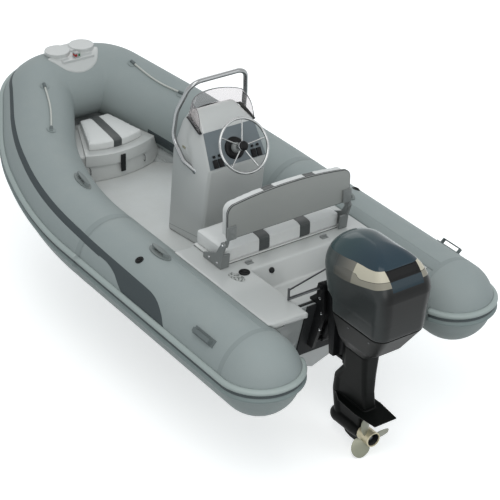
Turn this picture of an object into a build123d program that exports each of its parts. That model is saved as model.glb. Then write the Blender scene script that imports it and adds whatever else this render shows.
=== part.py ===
from build123d import *
import math
import os

os.makedirs("parts", exist_ok=True)

# Rigid inflatable boat, console tender with one outboard motor.
# Drawn in millimetres with X towards the bow, Y to port and Z up. All pieces are drawn
# from the stern end of the straight tubes, at the height of the tubes' axis there, and
# save() moves them so that the origin lies on the waterline, on the centreline.

ORIGIN_X = 1500
WATERLINE_Z = -200

SEAM = 0.3            # between pieces that lie on one another along curved faces
GAP = 6               # between pieces that move past one another

# ---- Buoyancy tubes -------------------------------------------------------------------
TUBE_R = 235
TUBE_Y = 682          # half the spacing of the two straight tubes' axes
CAP_X = -26           # centre of each rounded stern end
CHAMBER_X = 1500      # where the side chambers meet the bow chamber
# Corners of the tube's axis on the port side: x, how far inboard of the straight tube's
# axis, z, radius of the bend
TUBE_CORNERS = [
    (2000, 0, 0, 2666),
    (2620, 147, 97, 1333),
    (3130, 432, 288, 206),
]
BOW_X, BOW_Z = TUBE_CORNERS[-1][0], TUBE_CORNERS[-1][2]

# ---- Rub strake -----------------------------------------------------------------------
STRAKE_Z = 7
STRAKE_HALF = 42
STRAKE_OUT = 24
STRAKE_GROOVE = 10
STRAKE_WRAP = 165     # degrees that the strake runs on around a stern end

# ---- V hull and transom ---------------------------------------------------------------
TRANSOM_X = 270       # aft face of the transom at the height of the tubes' axis
TRANSOM_RAKE = 14     # degrees
TRANSOM_T = 45
TRANSOM_TOP = 95
WELL_HALF = 300
KEEL_Z = -446
HULL_END_X = 3120
# Hull sections: x, keel z, then the chine and the side, each as how far inboard of the
# straight tube's axis it lies, and its z
HULL_SECTIONS = [
    (100, KEEL_Z, 182, -205, 122, -150),
    (1800, KEEL_Z, 182, -205, 122, -150),
    (2300, -400, 257, -155, 187, -100),
    (2700, -270, 382, -75, 312, -20),
    (HULL_END_X, 55, 622, 75, 572, 110),
]
HULL_SIDE_TOP = 260

# ---- Cockpit --------------------------------------------------------------------------
FLOOR_T = 20
FLOOR_AFT_X = 1000
FLOOR_AFT_Z = 30
FLOOR_FWD_X = 2560
FLOOR_FWD_Z = -137    # the sole falls towards the bow locker

# ---- Stern moulding: deck, swim platform, splash well and seat locker -------------------
DECK_Z = TUBE_R - 30
DECK_AFT_X = 50
PLATFORM_T = 34
PLATFORM_SWEEP = 25   # how far the platform's outer ends lie ahead of its middle
NOTCH_HALF = 300      # half width of the motor's notch through the platform
WELL_FWD_X = 600
WELL_Z = 70
WELL_SLOPE = 60       # how far the well's front wall leans
SEAT_LOCKER_X = (740, 965)
SEAT_LOCKER_HALF = 385
SEAT_LOCKER_Z = 40

# ---- Helm seat ------------------------------------------------------------------------
SEAT_X = (705, 1003)
SEAT_HALF = 436
SEAT_LID_T = 12
SEAT_CUSHION_T = 92
SEAT_HINGE_X = 672
SEAT_HINGE_Y = 267
SEAT_HINGE_R = 6
SEAT_BRACKET_T = 14
SEAT_BRACKET_TOP = DECK_Z + 95    # where the wide rear flange of a bracket ends
SEAT_FLANGE_W = 58
SEAT_PIVOT_X = 667
SEAT_PIVOT_Z = DECK_Z + 167
BACK_BOTTOM_Z = DECK_Z + 202
BACK_SIDE_Z = DECK_Z + 409
BACK_CROWN = 38
BACK_HALF = 430
BACK_CORNER_R = 60
BACK_PANEL_X = 650
BACK_PANEL_T = 14
BACK_CUSHION_T = 62
BACK_ARM_T = 12
BACK_ARM_TOP = DECK_Z + 287

# ---- Bow locker -----------------------------------------------------------------------
LOCKER_X = 2484       # its aft face on the centreline
LID_BULGE = 50        # how far the middle of the lid's aft face stands aft of its corners
LOCKER_BULGE = 212    # the same curve carried out to the locker's sides
LOCKER_LID_Z = 50
LOCKER_SLOPE = 8      # degrees that the lid rises towards the bow
LOCKER_LID_T = 14
LOCKER_LIP = 76
LOCKER_WELL_Z = -95
LOCKER_WELL_FWD_Z = 45
LOCKER_WELL_HALF = 120
LID_SKIRT_T = 8
LID_HINGE_X = 2850
LID_REBATE = 26
LID_AFT_HALF = 250
LID_FWD_HALF = 118
BOW_CUSHION_X = (2518, 2841)
BOW_CUSHION_BULGE = 40
BOW_CUSHION_HALF = (208, 112)
BOW_CUSHION_T = 50
LATCH_W = 34
LATCH_L = 122

# ---- Bow step and navigation light ------------------------------------------------------
STEP_LOBE_Y = 92
STEP_LOBE_R = 84
STEP_RISE = 26
STEP_APRON_HALF = 118

# ---- Helm console -----------------------------------------------------------------------
CONSOLE_HALF = 204
CONSOLE_FWD_X = 1600
DASH_LOW = (1166, 545)
DASH_TOP = (1280, 745)
HOOD_TOP = (1418, 829)
DASH_T = 5
WHEEL_R = 162
WHEEL_RIM_R = 8
WHEEL_STAND = 115     # from the dash to the plane of the rim
WHEEL_UP = 95
WHEEL_SPOKES = 5
BEZEL_R = 62
BEZEL_T = 16
SWITCH_Y = 135
SWITCH_UP = 34
KNOB_UP = 77
SCREEN_AFT_X = 1292
SCREEN_NOSE = 85
SCREEN_T = 4
RAIL_R = 14

# ---- Outboard motor -----------------------------------------------------------------------
TILT_X, TILT_Z = 205, 222
TILT_TUBE_R = 17
TILT_LUG_R = 28
SWIVEL_X = 100
SWIVEL_R = 33
SWIVEL_HIGH = 150
SWIVEL_LOW = -190
PIVOT_R = 14
YOKE_T = 24
CLAMP_Y = 92
CLAMP_T = 22
CLAMP_BOTTOM = -214
HOOK_X = 300          # how far forward the clamps reach over the transom
PAD_T = 12
PAD_HALF = 165
PAD_BOTTOM = -292
CYLINDER_FOOT = (280, -185)
CYLINDER_HEAD = (159, 142)
BARREL_L = 210
BARREL_R = 24
BARREL_EYE_R = 18
ROD_R = 10
RAM_R = 9
RAM_Y = 325
RAM_POST_R = 7
RAM_EYE_R = 11
RAM_LINK_R = 5
ARM_Z = 262
ARM_T = 12
ARM_TIP_X = 280
LEG_TOP = -75
# Plan sections of the motor: z, forward end, aft end, half width, nose depth, corner radius
COVER_SECTIONS = [
    (190, 48, -402, 172, 40, 70),
    (278, 48, -410, 178, 40, 75),
    (300, 150, -412, 180, 120, 80),
    (440, 182, -425, 188, 140, 80),
    (560, 150, -380, 160, 130, 80),
    (640, 40, -240, 80, 90, 60),
]
PAN_SECTIONS = [
    (LEG_TOP, 60, -165, 62, 50, 30),
    (20, 55, -285, 118, 45, 50),
]
LEG_SECTIONS = [
    (LEG_TOP, 60, -160, 60, 50, 28),
    (-225, 60, -152, 50, 50, 24),
    (-330, 140, -152, 44, 70, 20),
    (-425, 150, -168, 42, 80, 16),
]
STRUT_SECTIONS = [
    (-425, 150, -168, 42, 80, 16),
    (-450, 149, -160, 38, 76, 14),
    (-480, 147, -122, 34, 72, 14),
    (-592, 130, -100, 26, 70, 12),
]
COWL_WALL = 6
COLUMN_X = (10, 61)
COLUMN_HALF = 40
ENGINE_X = (-330, 20)
ENGINE_HALF = 110
ENGINE_TOP = 540
ANTIVENT_Z = -440
ANTIVENT_T = 8
ANTIVENT_OUTLINE = [(110, 40), (20, 86), (-140, 96), (-305, 78)]
SHAFT_Z = -612
GEARCASE_X = (-108, 172)
GEARCASE_R = 52
SKEG_Z = -712
SKEG_T = 8
SKEG_SIDE = [(95, -650), (40, SKEG_Z + 10), (0, SKEG_Z), (-75, SKEG_Z), (-95, -650)]
PROP_R = 148
PROP_HUB_R = 46
PROP_HUB_X = (-212, -113)
PROP_BLADES = 3
PROP_PITCH = 28       # degrees
BLADE_HALF = 56
BLADE_T = 6
BLADE_START = -16     # degrees

# ---- Fittings -----------------------------------------------------------------------------
# Places on the port tube: distance along it from the stern, angle up from outboard
HANDLE_PLACES = [(985, 95), (1992, 107)]
CARRY_PLACES = [(232, 40)]
VALVE_PLACES = [(1017, 65)]
SUNK = 12             # how far a fitting is drawn into a tube before it is trimmed
HANDLE_L = 200
HANDLE_W = 76
HANDLE_BASE_T = 5
HANDLE_GRIP_W = 32
HANDLE_GRIP_T = 6
HANDLE_GAP_L = 90
HANDLE_RISE = 28      # from the tube's skin to the top of the grip
CARRY_PAD_L, CARRY_PAD_W = 190, 46
CARRY_L, CARRY_W = 150, 24
CARRY_RISE = 36
WEBBING_T = 4
VALVE_R = 26
VALVE_CAP_R = 18
VALVE_RISE = 9
DECK_CAP_R = 33
DECK_CAP_X = 589
DECK_CAP_Y = 352
EYE_HALF = 22
EYE_BAR_R = 5
EYE_REACH = 42
TRANSOM_EYE = (340, -60)
STEM_EYE_X = 2930
LINE_R = 6
PATCH_R = 30
PATCH_T = 4
BOSS_R = 10
BOSS_L = 34
# The bow grab line's route along the port tube: distance along it, angle, height off it
LINE_PLACES = [
    (2640, 105, 10), (2750, 109, 8), (2865, 110, 8), (2965, 106, 8), (3040, 102, 10),
]


def save(name, *solids):
    """Write one node, moved so that the origin lies at the waterline."""
    shape = solids[0] if len(solids) == 1 else Compound(children=list(solids))
    export_step(Pos(-ORIGIN_X, 0, -WATERLINE_Z) * shape, f"parts/{name}.step")


def box(x0, x1, y0, y1, z0, z1):
    """A block between six faces."""
    return Pos((x0 + x1) / 2, (y0 + y1) / 2, (z0 + z1) / 2) * Box(x1 - x0, y1 - y0, z1 - z0)


def side_profile(points, y0, y1):
    """An outline in X and Z, extruded from y0 to y1."""
    outline = Polyline(*[(x, 0, z) for x, z in points], close=True)
    return Pos(0, y0, 0) * extrude(make_face(outline), y1 - y0, dir=(0, 1, 0))


def rod(start, end, radius):
    """A round bar between two points."""
    a, b = Vector(*start), Vector(*end)
    return extrude(Plane(origin=a, z_dir=(b - a)) * Circle(radius), (b - a).length)


def mirrored(solid):
    """The same piece on the starboard side."""
    return mirror(solid, Plane.XZ)


# ======================================== tubes ============================================
def bow_path():
    """The axis of the bow chamber, from the port side round to starboard."""
    port = [(x, TUBE_Y - inboard, z) for x, inboard, z, bend in TUBE_CORNERS]
    points = [(CHAMBER_X, TUBE_Y, 0)] + port
    points += [(x, -y, z) for x, y, z in reversed(port)] + [(CHAMBER_X, -TUBE_Y, 0)]
    bends = [bend for x, inboard, z, bend in TUBE_CORNERS]
    return FilletPolyline(*points, radius=bends + bends[::-1])


def section_plane(x):
    """Across the port tube: its local x points outboard and its local y up."""
    return Plane(origin=(x, TUBE_Y, 0), x_dir=(0, 1, 0), z_dir=(1, 0, 0))


def side_chamber(radius):
    """The port tube, straight, with its round stern end."""
    straight = Pos(CAP_X, TUBE_Y, 0) * Rot(0, 90, 0) * Cylinder(
        radius, CHAMBER_X - CAP_X, align=(Align.CENTER, Align.CENTER, Align.MIN))
    return straight + Pos(CAP_X, TUBE_Y, 0) * Sphere(radius)


def bow_chamber(radius):
    """The tube round the bow."""
    return sweep(section_plane(CHAMBER_X) * Circle(radius), path=bow_path())


def strake_section(x):
    """Two ridges with a groove between them, on the outboard side of the tube."""
    seat = TUBE_R + SEAM
    half = STRAKE_HALF
    low, high = STRAKE_Z - half, STRAKE_Z + half
    foot_low = (math.sqrt(seat ** 2 - low ** 2), low)
    foot_high = (math.sqrt(seat ** 2 - high ** 2), high)
    out = seat + STRAKE_OUT
    ridge_low, ridge_high = STRAKE_Z - half * 0.55, STRAKE_Z + half * 0.55
    groove = (out - STRAKE_GROOVE, STRAKE_Z)
    lines = [
        ThreePointArc(foot_low, (seat, 0), foot_high),
        Line(foot_high, (foot_high[0] + 8, high)),
        ThreePointArc((foot_high[0] + 8, high), (out, ridge_high), groove),
        ThreePointArc(groove, (out, ridge_low), (foot_low[0] + 8, low)),
        Line((foot_low[0] + 8, low), foot_low),
    ]
    return section_plane(x) * make_face(lines)


def side_strake():
    """Along the port tube and round its stern end."""
    straight = extrude(strake_section(CAP_X), CHAMBER_X - CAP_X, dir=(1, 0, 0))
    wrap = revolve(strake_section(CAP_X), Axis((CAP_X, TUBE_Y, 0), (0, 0, 1)), STRAKE_WRAP)
    return straight + wrap


tube_port = side_chamber(TUBE_R)
tube_bow = bow_chamber(TUBE_R)
save("tube_port", tube_port)
save("tube_starboard", mirrored(tube_port))
save("tube_bow", tube_bow)

strake_port = side_strake()
save("rub_strake_port", strake_port)
save("rub_strake_starboard", mirrored(strake_port))
save("rub_strake_bow", sweep(strake_section(CHAMBER_X), path=bow_path()))

# Room that the deck and hull leave for the tubes
room_port = side_chamber(TUBE_R + SEAM)
tube_rooms = [room_port, mirrored(room_port), bow_chamber(TUBE_R + SEAM)]


def beside_tubes(solid):
    """What is left of a moulding once the tubes lie in it: its largest piece."""
    for room in tube_rooms:
        solid = solid - room
    return max(solid.solids(), key=lambda piece: piece.volume)


# ===================================== hull and transom ====================================
rake = math.tan(math.radians(TRANSOM_RAKE))


def transom_x(z):
    """Aft face of the transom at a height."""
    return TRANSOM_X - rake * z


def floor_z(x):
    """Top of the cockpit sole."""
    share = (x - FLOOR_AFT_X) / (FLOOR_FWD_X - FLOOR_AFT_X)
    return FLOOR_AFT_Z + share * (FLOOR_FWD_Z - FLOOR_AFT_Z)


def hull_face(x, keel, chine_in, chine_z, side_in, side_z):
    """One section across the V hull."""
    side_y = TUBE_Y - side_in
    port = [(TUBE_Y - chine_in, chine_z), (side_y, side_z), (side_y, HULL_SIDE_TOP)]
    points = [(0, keel)] + port + [(-y, z) for y, z in reversed(port)]
    plane = Plane(origin=(x, 0, 0), x_dir=(0, 1, 0), z_dir=(1, 0, 0))
    return plane * make_face(Polyline(*points, close=True))


hull_faces = [hull_face(*row) for row in HULL_SECTIONS]
hull_shape = loft(hull_faces[:2], ruled=True)
for aft, fwd in zip(hull_faces[1:], hull_faces[2:]):
    hull_shape = hull_shape + loft([aft, fwd], ruled=True)

# Under the deck and sole, then up under the bow locker
LOCKER_FOOT = (FLOOR_FWD_X, FLOOR_FWD_Z - FLOOR_T)
STEM_TOP = (2940, 40)
hull_top = [
    (transom_x(0) + TRANSOM_T, 0),
    (FLOOR_AFT_X, 0),
    (FLOOR_AFT_X, FLOOR_AFT_Z - FLOOR_T),
    LOCKER_FOOT,
    STEM_TOP,
    (HULL_END_X + 1, 200),
    (HULL_END_X + 1, KEEL_Z - 1),
    (transom_x(KEEL_Z - 1) + TRANSOM_T, KEEL_Z - 1),
]
hull = beside_tubes(hull_shape & side_profile(hull_top, -700, 700))
save("hull", hull)

board = [
    (transom_x(0), 0), (transom_x(0) + TRANSOM_T, 0),
    (transom_x(KEEL_Z - 1) + TRANSOM_T, KEEL_Z - 1), (transom_x(KEEL_Z - 1), KEEL_Z - 1),
]
upper = [
    (transom_x(0), 0), (transom_x(0) + TRANSOM_T, 0),
    (transom_x(TRANSOM_TOP) + TRANSOM_T, TRANSOM_TOP), (transom_x(TRANSOM_TOP), TRANSOM_TOP),
]
transom = beside_tubes(hull_shape & side_profile(board, -700, 700))
transom = transom + side_profile(upper, -WELL_HALF, WELL_HALF)
save("transom", transom)

pad = [
    (transom_x(TRANSOM_TOP) - PAD_T, TRANSOM_TOP), (transom_x(TRANSOM_TOP), TRANSOM_TOP),
    (transom_x(PAD_BOTTOM), PAD_BOTTOM), (transom_x(PAD_BOTTOM) - PAD_T, PAD_BOTTOM),
]
save("motor_pad", side_profile(pad, -PAD_HALF, PAD_HALF))

# ===================================== deck mouldings ======================================
sole = [
    (FLOOR_AFT_X, FLOOR_AFT_Z - FLOOR_T), (FLOOR_AFT_X, FLOOR_AFT_Z),
    (FLOOR_FWD_X, FLOOR_FWD_Z), (FLOOR_FWD_X, FLOOR_FWD_Z - FLOOR_T),
]
save("cockpit_sole", beside_tubes(side_profile(sole, -600, 600) & hull_shape))

# The stern moulding in side view: swim platform, underside raked with the transom, deck
stern = [
    (DECK_AFT_X, DECK_Z), (DECK_AFT_X, DECK_Z - PLATFORM_T),
    (transom_x(DECK_Z - PLATFORM_T), DECK_Z - PLATFORM_T),
    (transom_x(0), 0), (FLOOR_AFT_X, 0), (FLOOR_AFT_X, DECK_Z),
]
deck = side_profile(stern, -TUBE_Y, TUBE_Y)
sweep_cut = make_face(Polyline(
    (DECK_AFT_X - 1, TUBE_Y), (DECK_AFT_X + PLATFORM_SWEEP, TUBE_Y),
    (DECK_AFT_X, NOTCH_HALF), (DECK_AFT_X - 1, NOTCH_HALF), close=True))
sweep_cut = extrude(Pos(0, 0, DECK_Z - PLATFORM_T - 1) * sweep_cut, PLATFORM_T + 2, dir=(0, 0, 1))
deck = deck - sweep_cut - mirrored(sweep_cut)
well = [
    (transom_x(WELL_Z) + TRANSOM_T + SEAM, WELL_Z), (WELL_FWD_X - WELL_SLOPE, WELL_Z),
    (WELL_FWD_X, DECK_Z + 1), (transom_x(DECK_Z) + TRANSOM_T, DECK_Z + 1),
]
deck = deck - side_profile(well, -WELL_HALF, WELL_HALF)
board_room = [
    (transom_x(0) - 1, -1), (transom_x(0) + TRANSOM_T + SEAM, -1),
    (transom_x(DECK_Z) + TRANSOM_T + SEAM, DECK_Z + 1), (transom_x(DECK_Z) - 1, DECK_Z + 1),
]
deck = deck - side_profile(board_room, -WELL_HALF - SEAM, WELL_HALF + SEAM)
deck = deck - box(DECK_AFT_X - 1, TRANSOM_X, -NOTCH_HALF, NOTCH_HALF, -1, DECK_Z + 1)
deck = deck - box(*SEAT_LOCKER_X, -SEAT_LOCKER_HALF, SEAT_LOCKER_HALF,
                  SEAT_LOCKER_Z, DECK_Z + 1)
save("stern_deck", beside_tubes(deck))

# ======================================= helm seat =========================================
lid_z = DECK_Z + SEAM
cushion_z = lid_z + SEAT_LID_T
seat_lid = box(*SEAT_X, -SEAT_HALF, SEAT_HALF, lid_z, cushion_z)
save("seat_lid", seat_lid)
seat_cushion = box(SEAT_X[0], SEAT_X[1], -SEAT_HALF + SEAT_BRACKET_T + 8,
                   SEAT_HALF - SEAT_BRACKET_T - 8, cushion_z + SEAM,
                   cushion_z + SEAT_CUSHION_T)
save("seat_cushion", fillet(seat_cushion.edges().group_by(Axis.Z)[-1], 24))

# Hinges behind the lid: a leaf on the deck with its knuckle, and the lid's leaf
hinge_leaves = []
for y in (-SEAT_HINGE_Y, SEAT_HINGE_Y):
    leaf = box(SEAT_HINGE_X - 26, SEAT_HINGE_X, y - 22, y + 22, DECK_Z, DECK_Z + 3)
    knuckle = rod((SEAT_HINGE_X, y - 22, DECK_Z + SEAT_HINGE_R),
                  (SEAT_HINGE_X, y + 22, DECK_Z + SEAT_HINGE_R), SEAT_HINGE_R)
    hinge_leaves.append(leaf + knuckle)
save("seat_hinges", *hinge_leaves)

# Brackets: a plate outside each end of the cushion with a broad flange behind it
bracket_x = SEAT_X[0] + 155
side_plate = [
    (SEAT_PIVOT_X - 20, SEAT_PIVOT_Z), (SEAT_PIVOT_X + 20, SEAT_PIVOT_Z),
    (SEAT_X[0] + 25, SEAT_BRACKET_TOP), (bracket_x, cushion_z + 22), (bracket_x, lid_z + 2),
    (SEAT_X[0] - 21, lid_z + 2), (SEAT_X[0] - 33, SEAT_BRACKET_TOP),
]
rear_flange = [
    (SEAT_X[0] - 21, lid_z + 2), (SEAT_X[0] - 7, lid_z + 2),
    (SEAT_X[0] - 19, SEAT_BRACKET_TOP), (SEAT_X[0] - 33, SEAT_BRACKET_TOP),
]
plate_y = (SEAT_HALF + 1, SEAT_HALF + 1 + SEAT_BRACKET_T)
bracket = side_profile(side_plate, *plate_y)
bracket = bracket + side_profile(rear_flange, plate_y[1] - SEAT_FLANGE_W, plate_y[1])
bracket = bracket + rod((SEAT_PIVOT_X, plate_y[0], SEAT_PIVOT_Z),
                        (SEAT_PIVOT_X, plate_y[1], SEAT_PIVOT_Z), 20)
bracket = bracket + box(SEAT_X[0], bracket_x, SEAT_HALF - 14, plate_y[0] + 1,
                        cushion_z, cushion_z + 4)
save("seat_brackets", bracket, mirrored(bracket))

# Backrest: arms inside the brackets, each with a flange behind the panel's lower corner
arm_y = (plate_y[0] - 2 - BACK_ARM_T, plate_y[0] - 2)
arm = side_profile([
    (SEAT_PIVOT_X - 18, SEAT_PIVOT_Z), (SEAT_PIVOT_X + 18, SEAT_PIVOT_Z),
    (BACK_PANEL_X + BACK_PANEL_T, BACK_BOTTOM_Z - 7), (BACK_PANEL_X, BACK_BOTTOM_Z - 7),
    (BACK_PANEL_X, BACK_ARM_TOP), (BACK_PANEL_X - BACK_ARM_T, BACK_ARM_TOP),
    (BACK_PANEL_X - BACK_ARM_T, BACK_BOTTOM_Z)], *arm_y)
arm = arm + rod((SEAT_PIVOT_X, arm_y[0], SEAT_PIVOT_Z),
                (SEAT_PIVOT_X, plate_y[0] - SEAM, SEAT_PIVOT_Z), 18)
arm = arm + box(BACK_PANEL_X - BACK_ARM_T, BACK_PANEL_X, arm_y[1] - SEAT_FLANGE_W, arm_y[1],
                BACK_BOTTOM_Z + 2, BACK_ARM_TOP)
save("backrest_arms", arm, mirrored(arm))


def back_outline(x, margin, thickness):
    """The crowned outline of the backrest, extruded forward from x."""
    half, low, side = BACK_HALF - margin, BACK_BOTTOM_Z + margin, BACK_SIDE_Z - margin
    crown = side + BACK_CROWN
    lines = [
        Line((-half, low), (half, low)), Line((half, low), (half, side)),
        ThreePointArc((half, side), (0, crown), (-half, side)),
        Line((-half, side), (-half, low)),
    ]
    face = make_face(lines)
    upper = [corner for corner in face.vertices() if corner.Y > low + 1]
    plane = Plane(origin=(x, 0, 0), x_dir=(0, 1, 0), z_dir=(1, 0, 0))
    return extrude(plane * fillet(upper, BACK_CORNER_R - margin), thickness, dir=(1, 0, 0))


save("backrest_panel", back_outline(BACK_PANEL_X, 0, BACK_PANEL_T))
cushion_x = BACK_PANEL_X + BACK_PANEL_T + SEAM
save("backrest_cushion", back_outline(cushion_x, 3, BACK_CUSHION_T))

# ======================================= bow locker ========================================
slope = math.tan(math.radians(LOCKER_SLOPE))


def locker_z(x):
    """Underside of the locker lid."""
    return LOCKER_LID_Z + slope * (x - LOCKER_X)


def bow_plan(aft_x, bulge, aft_half, fwd_x, fwd_half):
    """A trapezoid in plan with a bowed aft edge, extruded through the bow."""
    lines = [
        ThreePointArc((aft_x + bulge, aft_half), (aft_x, 0), (aft_x + bulge, -aft_half)),
        Line((aft_x + bulge, -aft_half), (fwd_x, -fwd_half)),
        Line((fwd_x, -fwd_half), (fwd_x, fwd_half)),
        Line((fwd_x, fwd_half), (aft_x + bulge, aft_half)),
    ]
    return extrude(Pos(0, 0, -400) * make_face(lines), 900, dir=(0, 0, 1))


def lid_slab(low, high):
    """The layer between two heights above the underside of the lid."""
    x0, x1 = LOCKER_X - 200, LID_HINGE_X + 200
    return side_profile([
        (x0, locker_z(x0) + low), (x1, locker_z(x1) + low),
        (x1, locker_z(x1) + high), (x0, locker_z(x0) + high)], -500, 500)


locker_fwd_x = STEM_TOP[0]
locker_side = [
    (LOCKER_X, floor_z(LOCKER_X)), (FLOOR_FWD_X, FLOOR_FWD_Z), (FLOOR_FWD_X, FLOOR_FWD_Z - FLOOR_T),
    STEM_TOP, (locker_fwd_x, locker_z(LID_HINGE_X) - LID_REBATE),
    (LID_HINGE_X - GAP, locker_z(LID_HINGE_X) - LID_REBATE),
    (LID_HINGE_X - GAP, locker_z(LID_HINGE_X - GAP) - 1), (LOCKER_X, locker_z(LOCKER_X) - 1),
]
locker = side_profile(locker_side, -500, 500)
locker = locker & bow_plan(LOCKER_X, LOCKER_BULGE, 480, locker_fwd_x, 300)
hollow = [
    (LOCKER_X + 55, 200), (LOCKER_X + 55, LOCKER_WELL_Z), (LOCKER_X + 140, LOCKER_WELL_Z),
    (LID_HINGE_X - 40, LOCKER_WELL_FWD_Z), (LID_HINGE_X - 40, 200),
]
locker = locker - side_profile(hollow, -LOCKER_WELL_HALF, LOCKER_WELL_HALF)
save("bow_locker", beside_tubes(locker & hull_shape))

lid_aft_x = LOCKER_X - GAP - LID_SKIRT_T
lid_outer = bow_plan(lid_aft_x, LID_BULGE, LID_AFT_HALF, LID_HINGE_X - 4, LID_FWD_HALF)
lid = lid_outer & lid_slab(0, LOCKER_LID_T)
skirt = bow_plan(lid_aft_x, LID_BULGE, LID_AFT_HALF, LID_HINGE_X, LID_AFT_HALF)
skirt = skirt - bow_plan(lid_aft_x + LID_SKIRT_T, LOCKER_BULGE, 480, 3000, 900)
lid = lid + (skirt & lid_slab(LOCKER_LID_T - LOCKER_LIP, LOCKER_LID_T))
save("bow_locker_lid", lid)

cushion = bow_plan(BOW_CUSHION_X[0], BOW_CUSHION_BULGE, BOW_CUSHION_HALF[0],
                   BOW_CUSHION_X[1], BOW_CUSHION_HALF[1])
cushion = cushion & lid_slab(LOCKER_LID_T + SEAM, LOCKER_LID_T + BOW_CUSHION_T)
save("bow_cushion", cushion)

latch_top = locker_z(LOCKER_X) + LOCKER_LID_T - 22
latch = box(lid_aft_x - 12, lid_aft_x, -LATCH_W / 2, LATCH_W / 2, latch_top - LATCH_L, latch_top)
save("locker_latch", latch)

# ===================================== bow step and light ==================================
top_z = BOW_Z + TUBE_R
step = box(3100, 3215, -STEP_LOBE_Y, STEP_LOBE_Y, 380, top_z + STEP_RISE - 10)
for side in (-1, 1):
    step = step + Pos(BOW_X + 6, side * STEP_LOBE_Y, 380) * Cylinder(
        STEP_LOBE_R, top_z + STEP_RISE - 380, align=(Align.CENTER, Align.CENTER, Align.MIN))
step = step + box(3008, 3100, -STEP_APRON_HALF, STEP_APRON_HALF, 392, top_z - 6)
save("bow_step", beside_tubes(step))

lamp = box(3018, 3064, -24, 24, top_z - 6, top_z - 2)
lamp = lamp + box(3022, 3060, -19, 19, top_z - 2, top_z + 26)
save("bow_light", fillet(lamp.edges().group_by(Axis.Z)[-1], 8))

# ======================================= helm console ======================================
console_side = [
    (1238, floor_z(1238)), DASH_LOW, DASH_TOP, HOOD_TOP, (1470, 806), (1560, 540),
    (CONSOLE_FWD_X, floor_z(CONSOLE_FWD_X)),
]
console = side_profile(console_side, -300, 300)
front_view = [
    (CONSOLE_HALF + 12, -150), (CONSOLE_HALF, DASH_LOW[1]), (CONSOLE_HALF - 20, DASH_TOP[1]),
    (CONSOLE_HALF - 74, HOOD_TOP[1] + 1),
]
front_view += [(-y, z) for y, z in reversed(front_view)]
front_plane = Plane(origin=(1000, 0, 0), x_dir=(0, 1, 0), z_dir=(1, 0, 0))
front_face = front_plane * make_face(Polyline(*front_view, close=True))
console = console & extrude(front_face, 900, dir=(1, 0, 0))
save("console", console)

# The dash lies on the sloping face below the hood: local x to starboard, local y up it
dash_up = Vector(DASH_TOP[0] - DASH_LOW[0], 0, DASH_TOP[1] - DASH_LOW[1])
dash_length = dash_up.length
dash = Plane(origin=(DASH_LOW[0], 0, DASH_LOW[1]), x_dir=(0, -1, 0),
             z_dir=Vector(0, -1, 0).cross(dash_up))


def on_dash(across, up, height):
    """A place on the dash: to starboard, up the slope and off its face."""
    return dash * Pos(across, up, height)


plate_low, plate_high = CONSOLE_HALF - 6, CONSOLE_HALF - 26
dash_plate = dash * make_face(Polyline(
    (-plate_low, 6), (plate_low, 6), (plate_high, dash_length - 6),
    (-plate_high, dash_length - 6), close=True))
save("dash_panel", extrude(dash_plate, DASH_T, dir=dash.z_dir))

stem = on_dash(0, WHEEL_UP, DASH_T)
bezel = stem * Cylinder(BEZEL_R, BEZEL_T, align=(Align.CENTER, Align.CENTER, Align.MIN))
bezel = bezel - stem * Cylinder(16, BEZEL_T, align=(Align.CENTER, Align.CENTER, Align.MIN))
save("helm_bezel", bezel)

switches = []
for side in (-1, 1):
    for place in (-19, 19):
        across = side * SWITCH_Y + place
        switches.append(on_dash(across, SWITCH_UP, DASH_T + 5) * Box(31, 50, 10))
        switches.append(on_dash(across, KNOB_UP, DASH_T + 6) * Cylinder(8, 12))
save("dash_switches", *switches)

# Wheel: rim, spokes, hub and the shaft that turns in the bezel
rim = on_dash(0, WHEEL_UP, WHEEL_STAND) * Torus(WHEEL_R, WHEEL_RIM_R)
shaft_low = DASH_T + 1
wheel = rim + on_dash(0, WHEEL_UP, (shaft_low + WHEEL_STAND - 20) / 2) * Cylinder(
    11, WHEEL_STAND - 20 - shaft_low)
wheel = wheel + on_dash(0, WHEEL_UP, WHEEL_STAND - 24) * Cylinder(26, 24)
for number in range(WHEEL_SPOKES):
    turn = math.radians(77 + 360 * number / WHEEL_SPOKES)
    tip = (WHEEL_R * math.cos(turn), WHEEL_R * math.sin(turn), WHEEL_STAND)
    root = (18 * math.cos(turn), 18 * math.sin(turn), WHEEL_STAND - 20)
    wheel = wheel + dash * Pos(0, WHEEL_UP, 0) * rod(root, tip, 4.5)
save("steering_wheel", wheel)


def screen_face(front_x, half, z):
    """A thin U in plan: the windscreen's section at one height."""
    outer = [
        Line((SCREEN_AFT_X, half), (front_x - SCREEN_NOSE, half)),
        ThreePointArc((front_x - SCREEN_NOSE, half), (front_x, 0), (front_x - SCREEN_NOSE, -half)),
        Line((front_x - SCREEN_NOSE, -half), (SCREEN_AFT_X, -half)),
        Line((SCREEN_AFT_X, -half), (SCREEN_AFT_X, -half + SCREEN_T)),
        Line((SCREEN_AFT_X, -half + SCREEN_T), (front_x - SCREEN_NOSE, -half + SCREEN_T)),
        ThreePointArc((front_x - SCREEN_NOSE, -half + SCREEN_T), (front_x - SCREEN_T, 0),
                      (front_x - SCREEN_NOSE, half - SCREEN_T)),
        Line((front_x - SCREEN_NOSE, half - SCREEN_T), (SCREEN_AFT_X, half - SCREEN_T)),
        Line((SCREEN_AFT_X, half - SCREEN_T), (SCREEN_AFT_X, half)),
    ]
    return Pos(0, 0, z) * make_face(outer)


screen = loft([screen_face(1530, 212, 640), screen_face(1478, 178, 905)], ruled=True)
screen_shape = side_profile([
    (SCREEN_AFT_X - 1, 735), (SCREEN_AFT_X - 1, 752), (1330, 850), (1395, 893),
    (1560, 903), (1560, 735)], -300, 300)
save("windscreen", (screen & screen_shape) - console)

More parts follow.
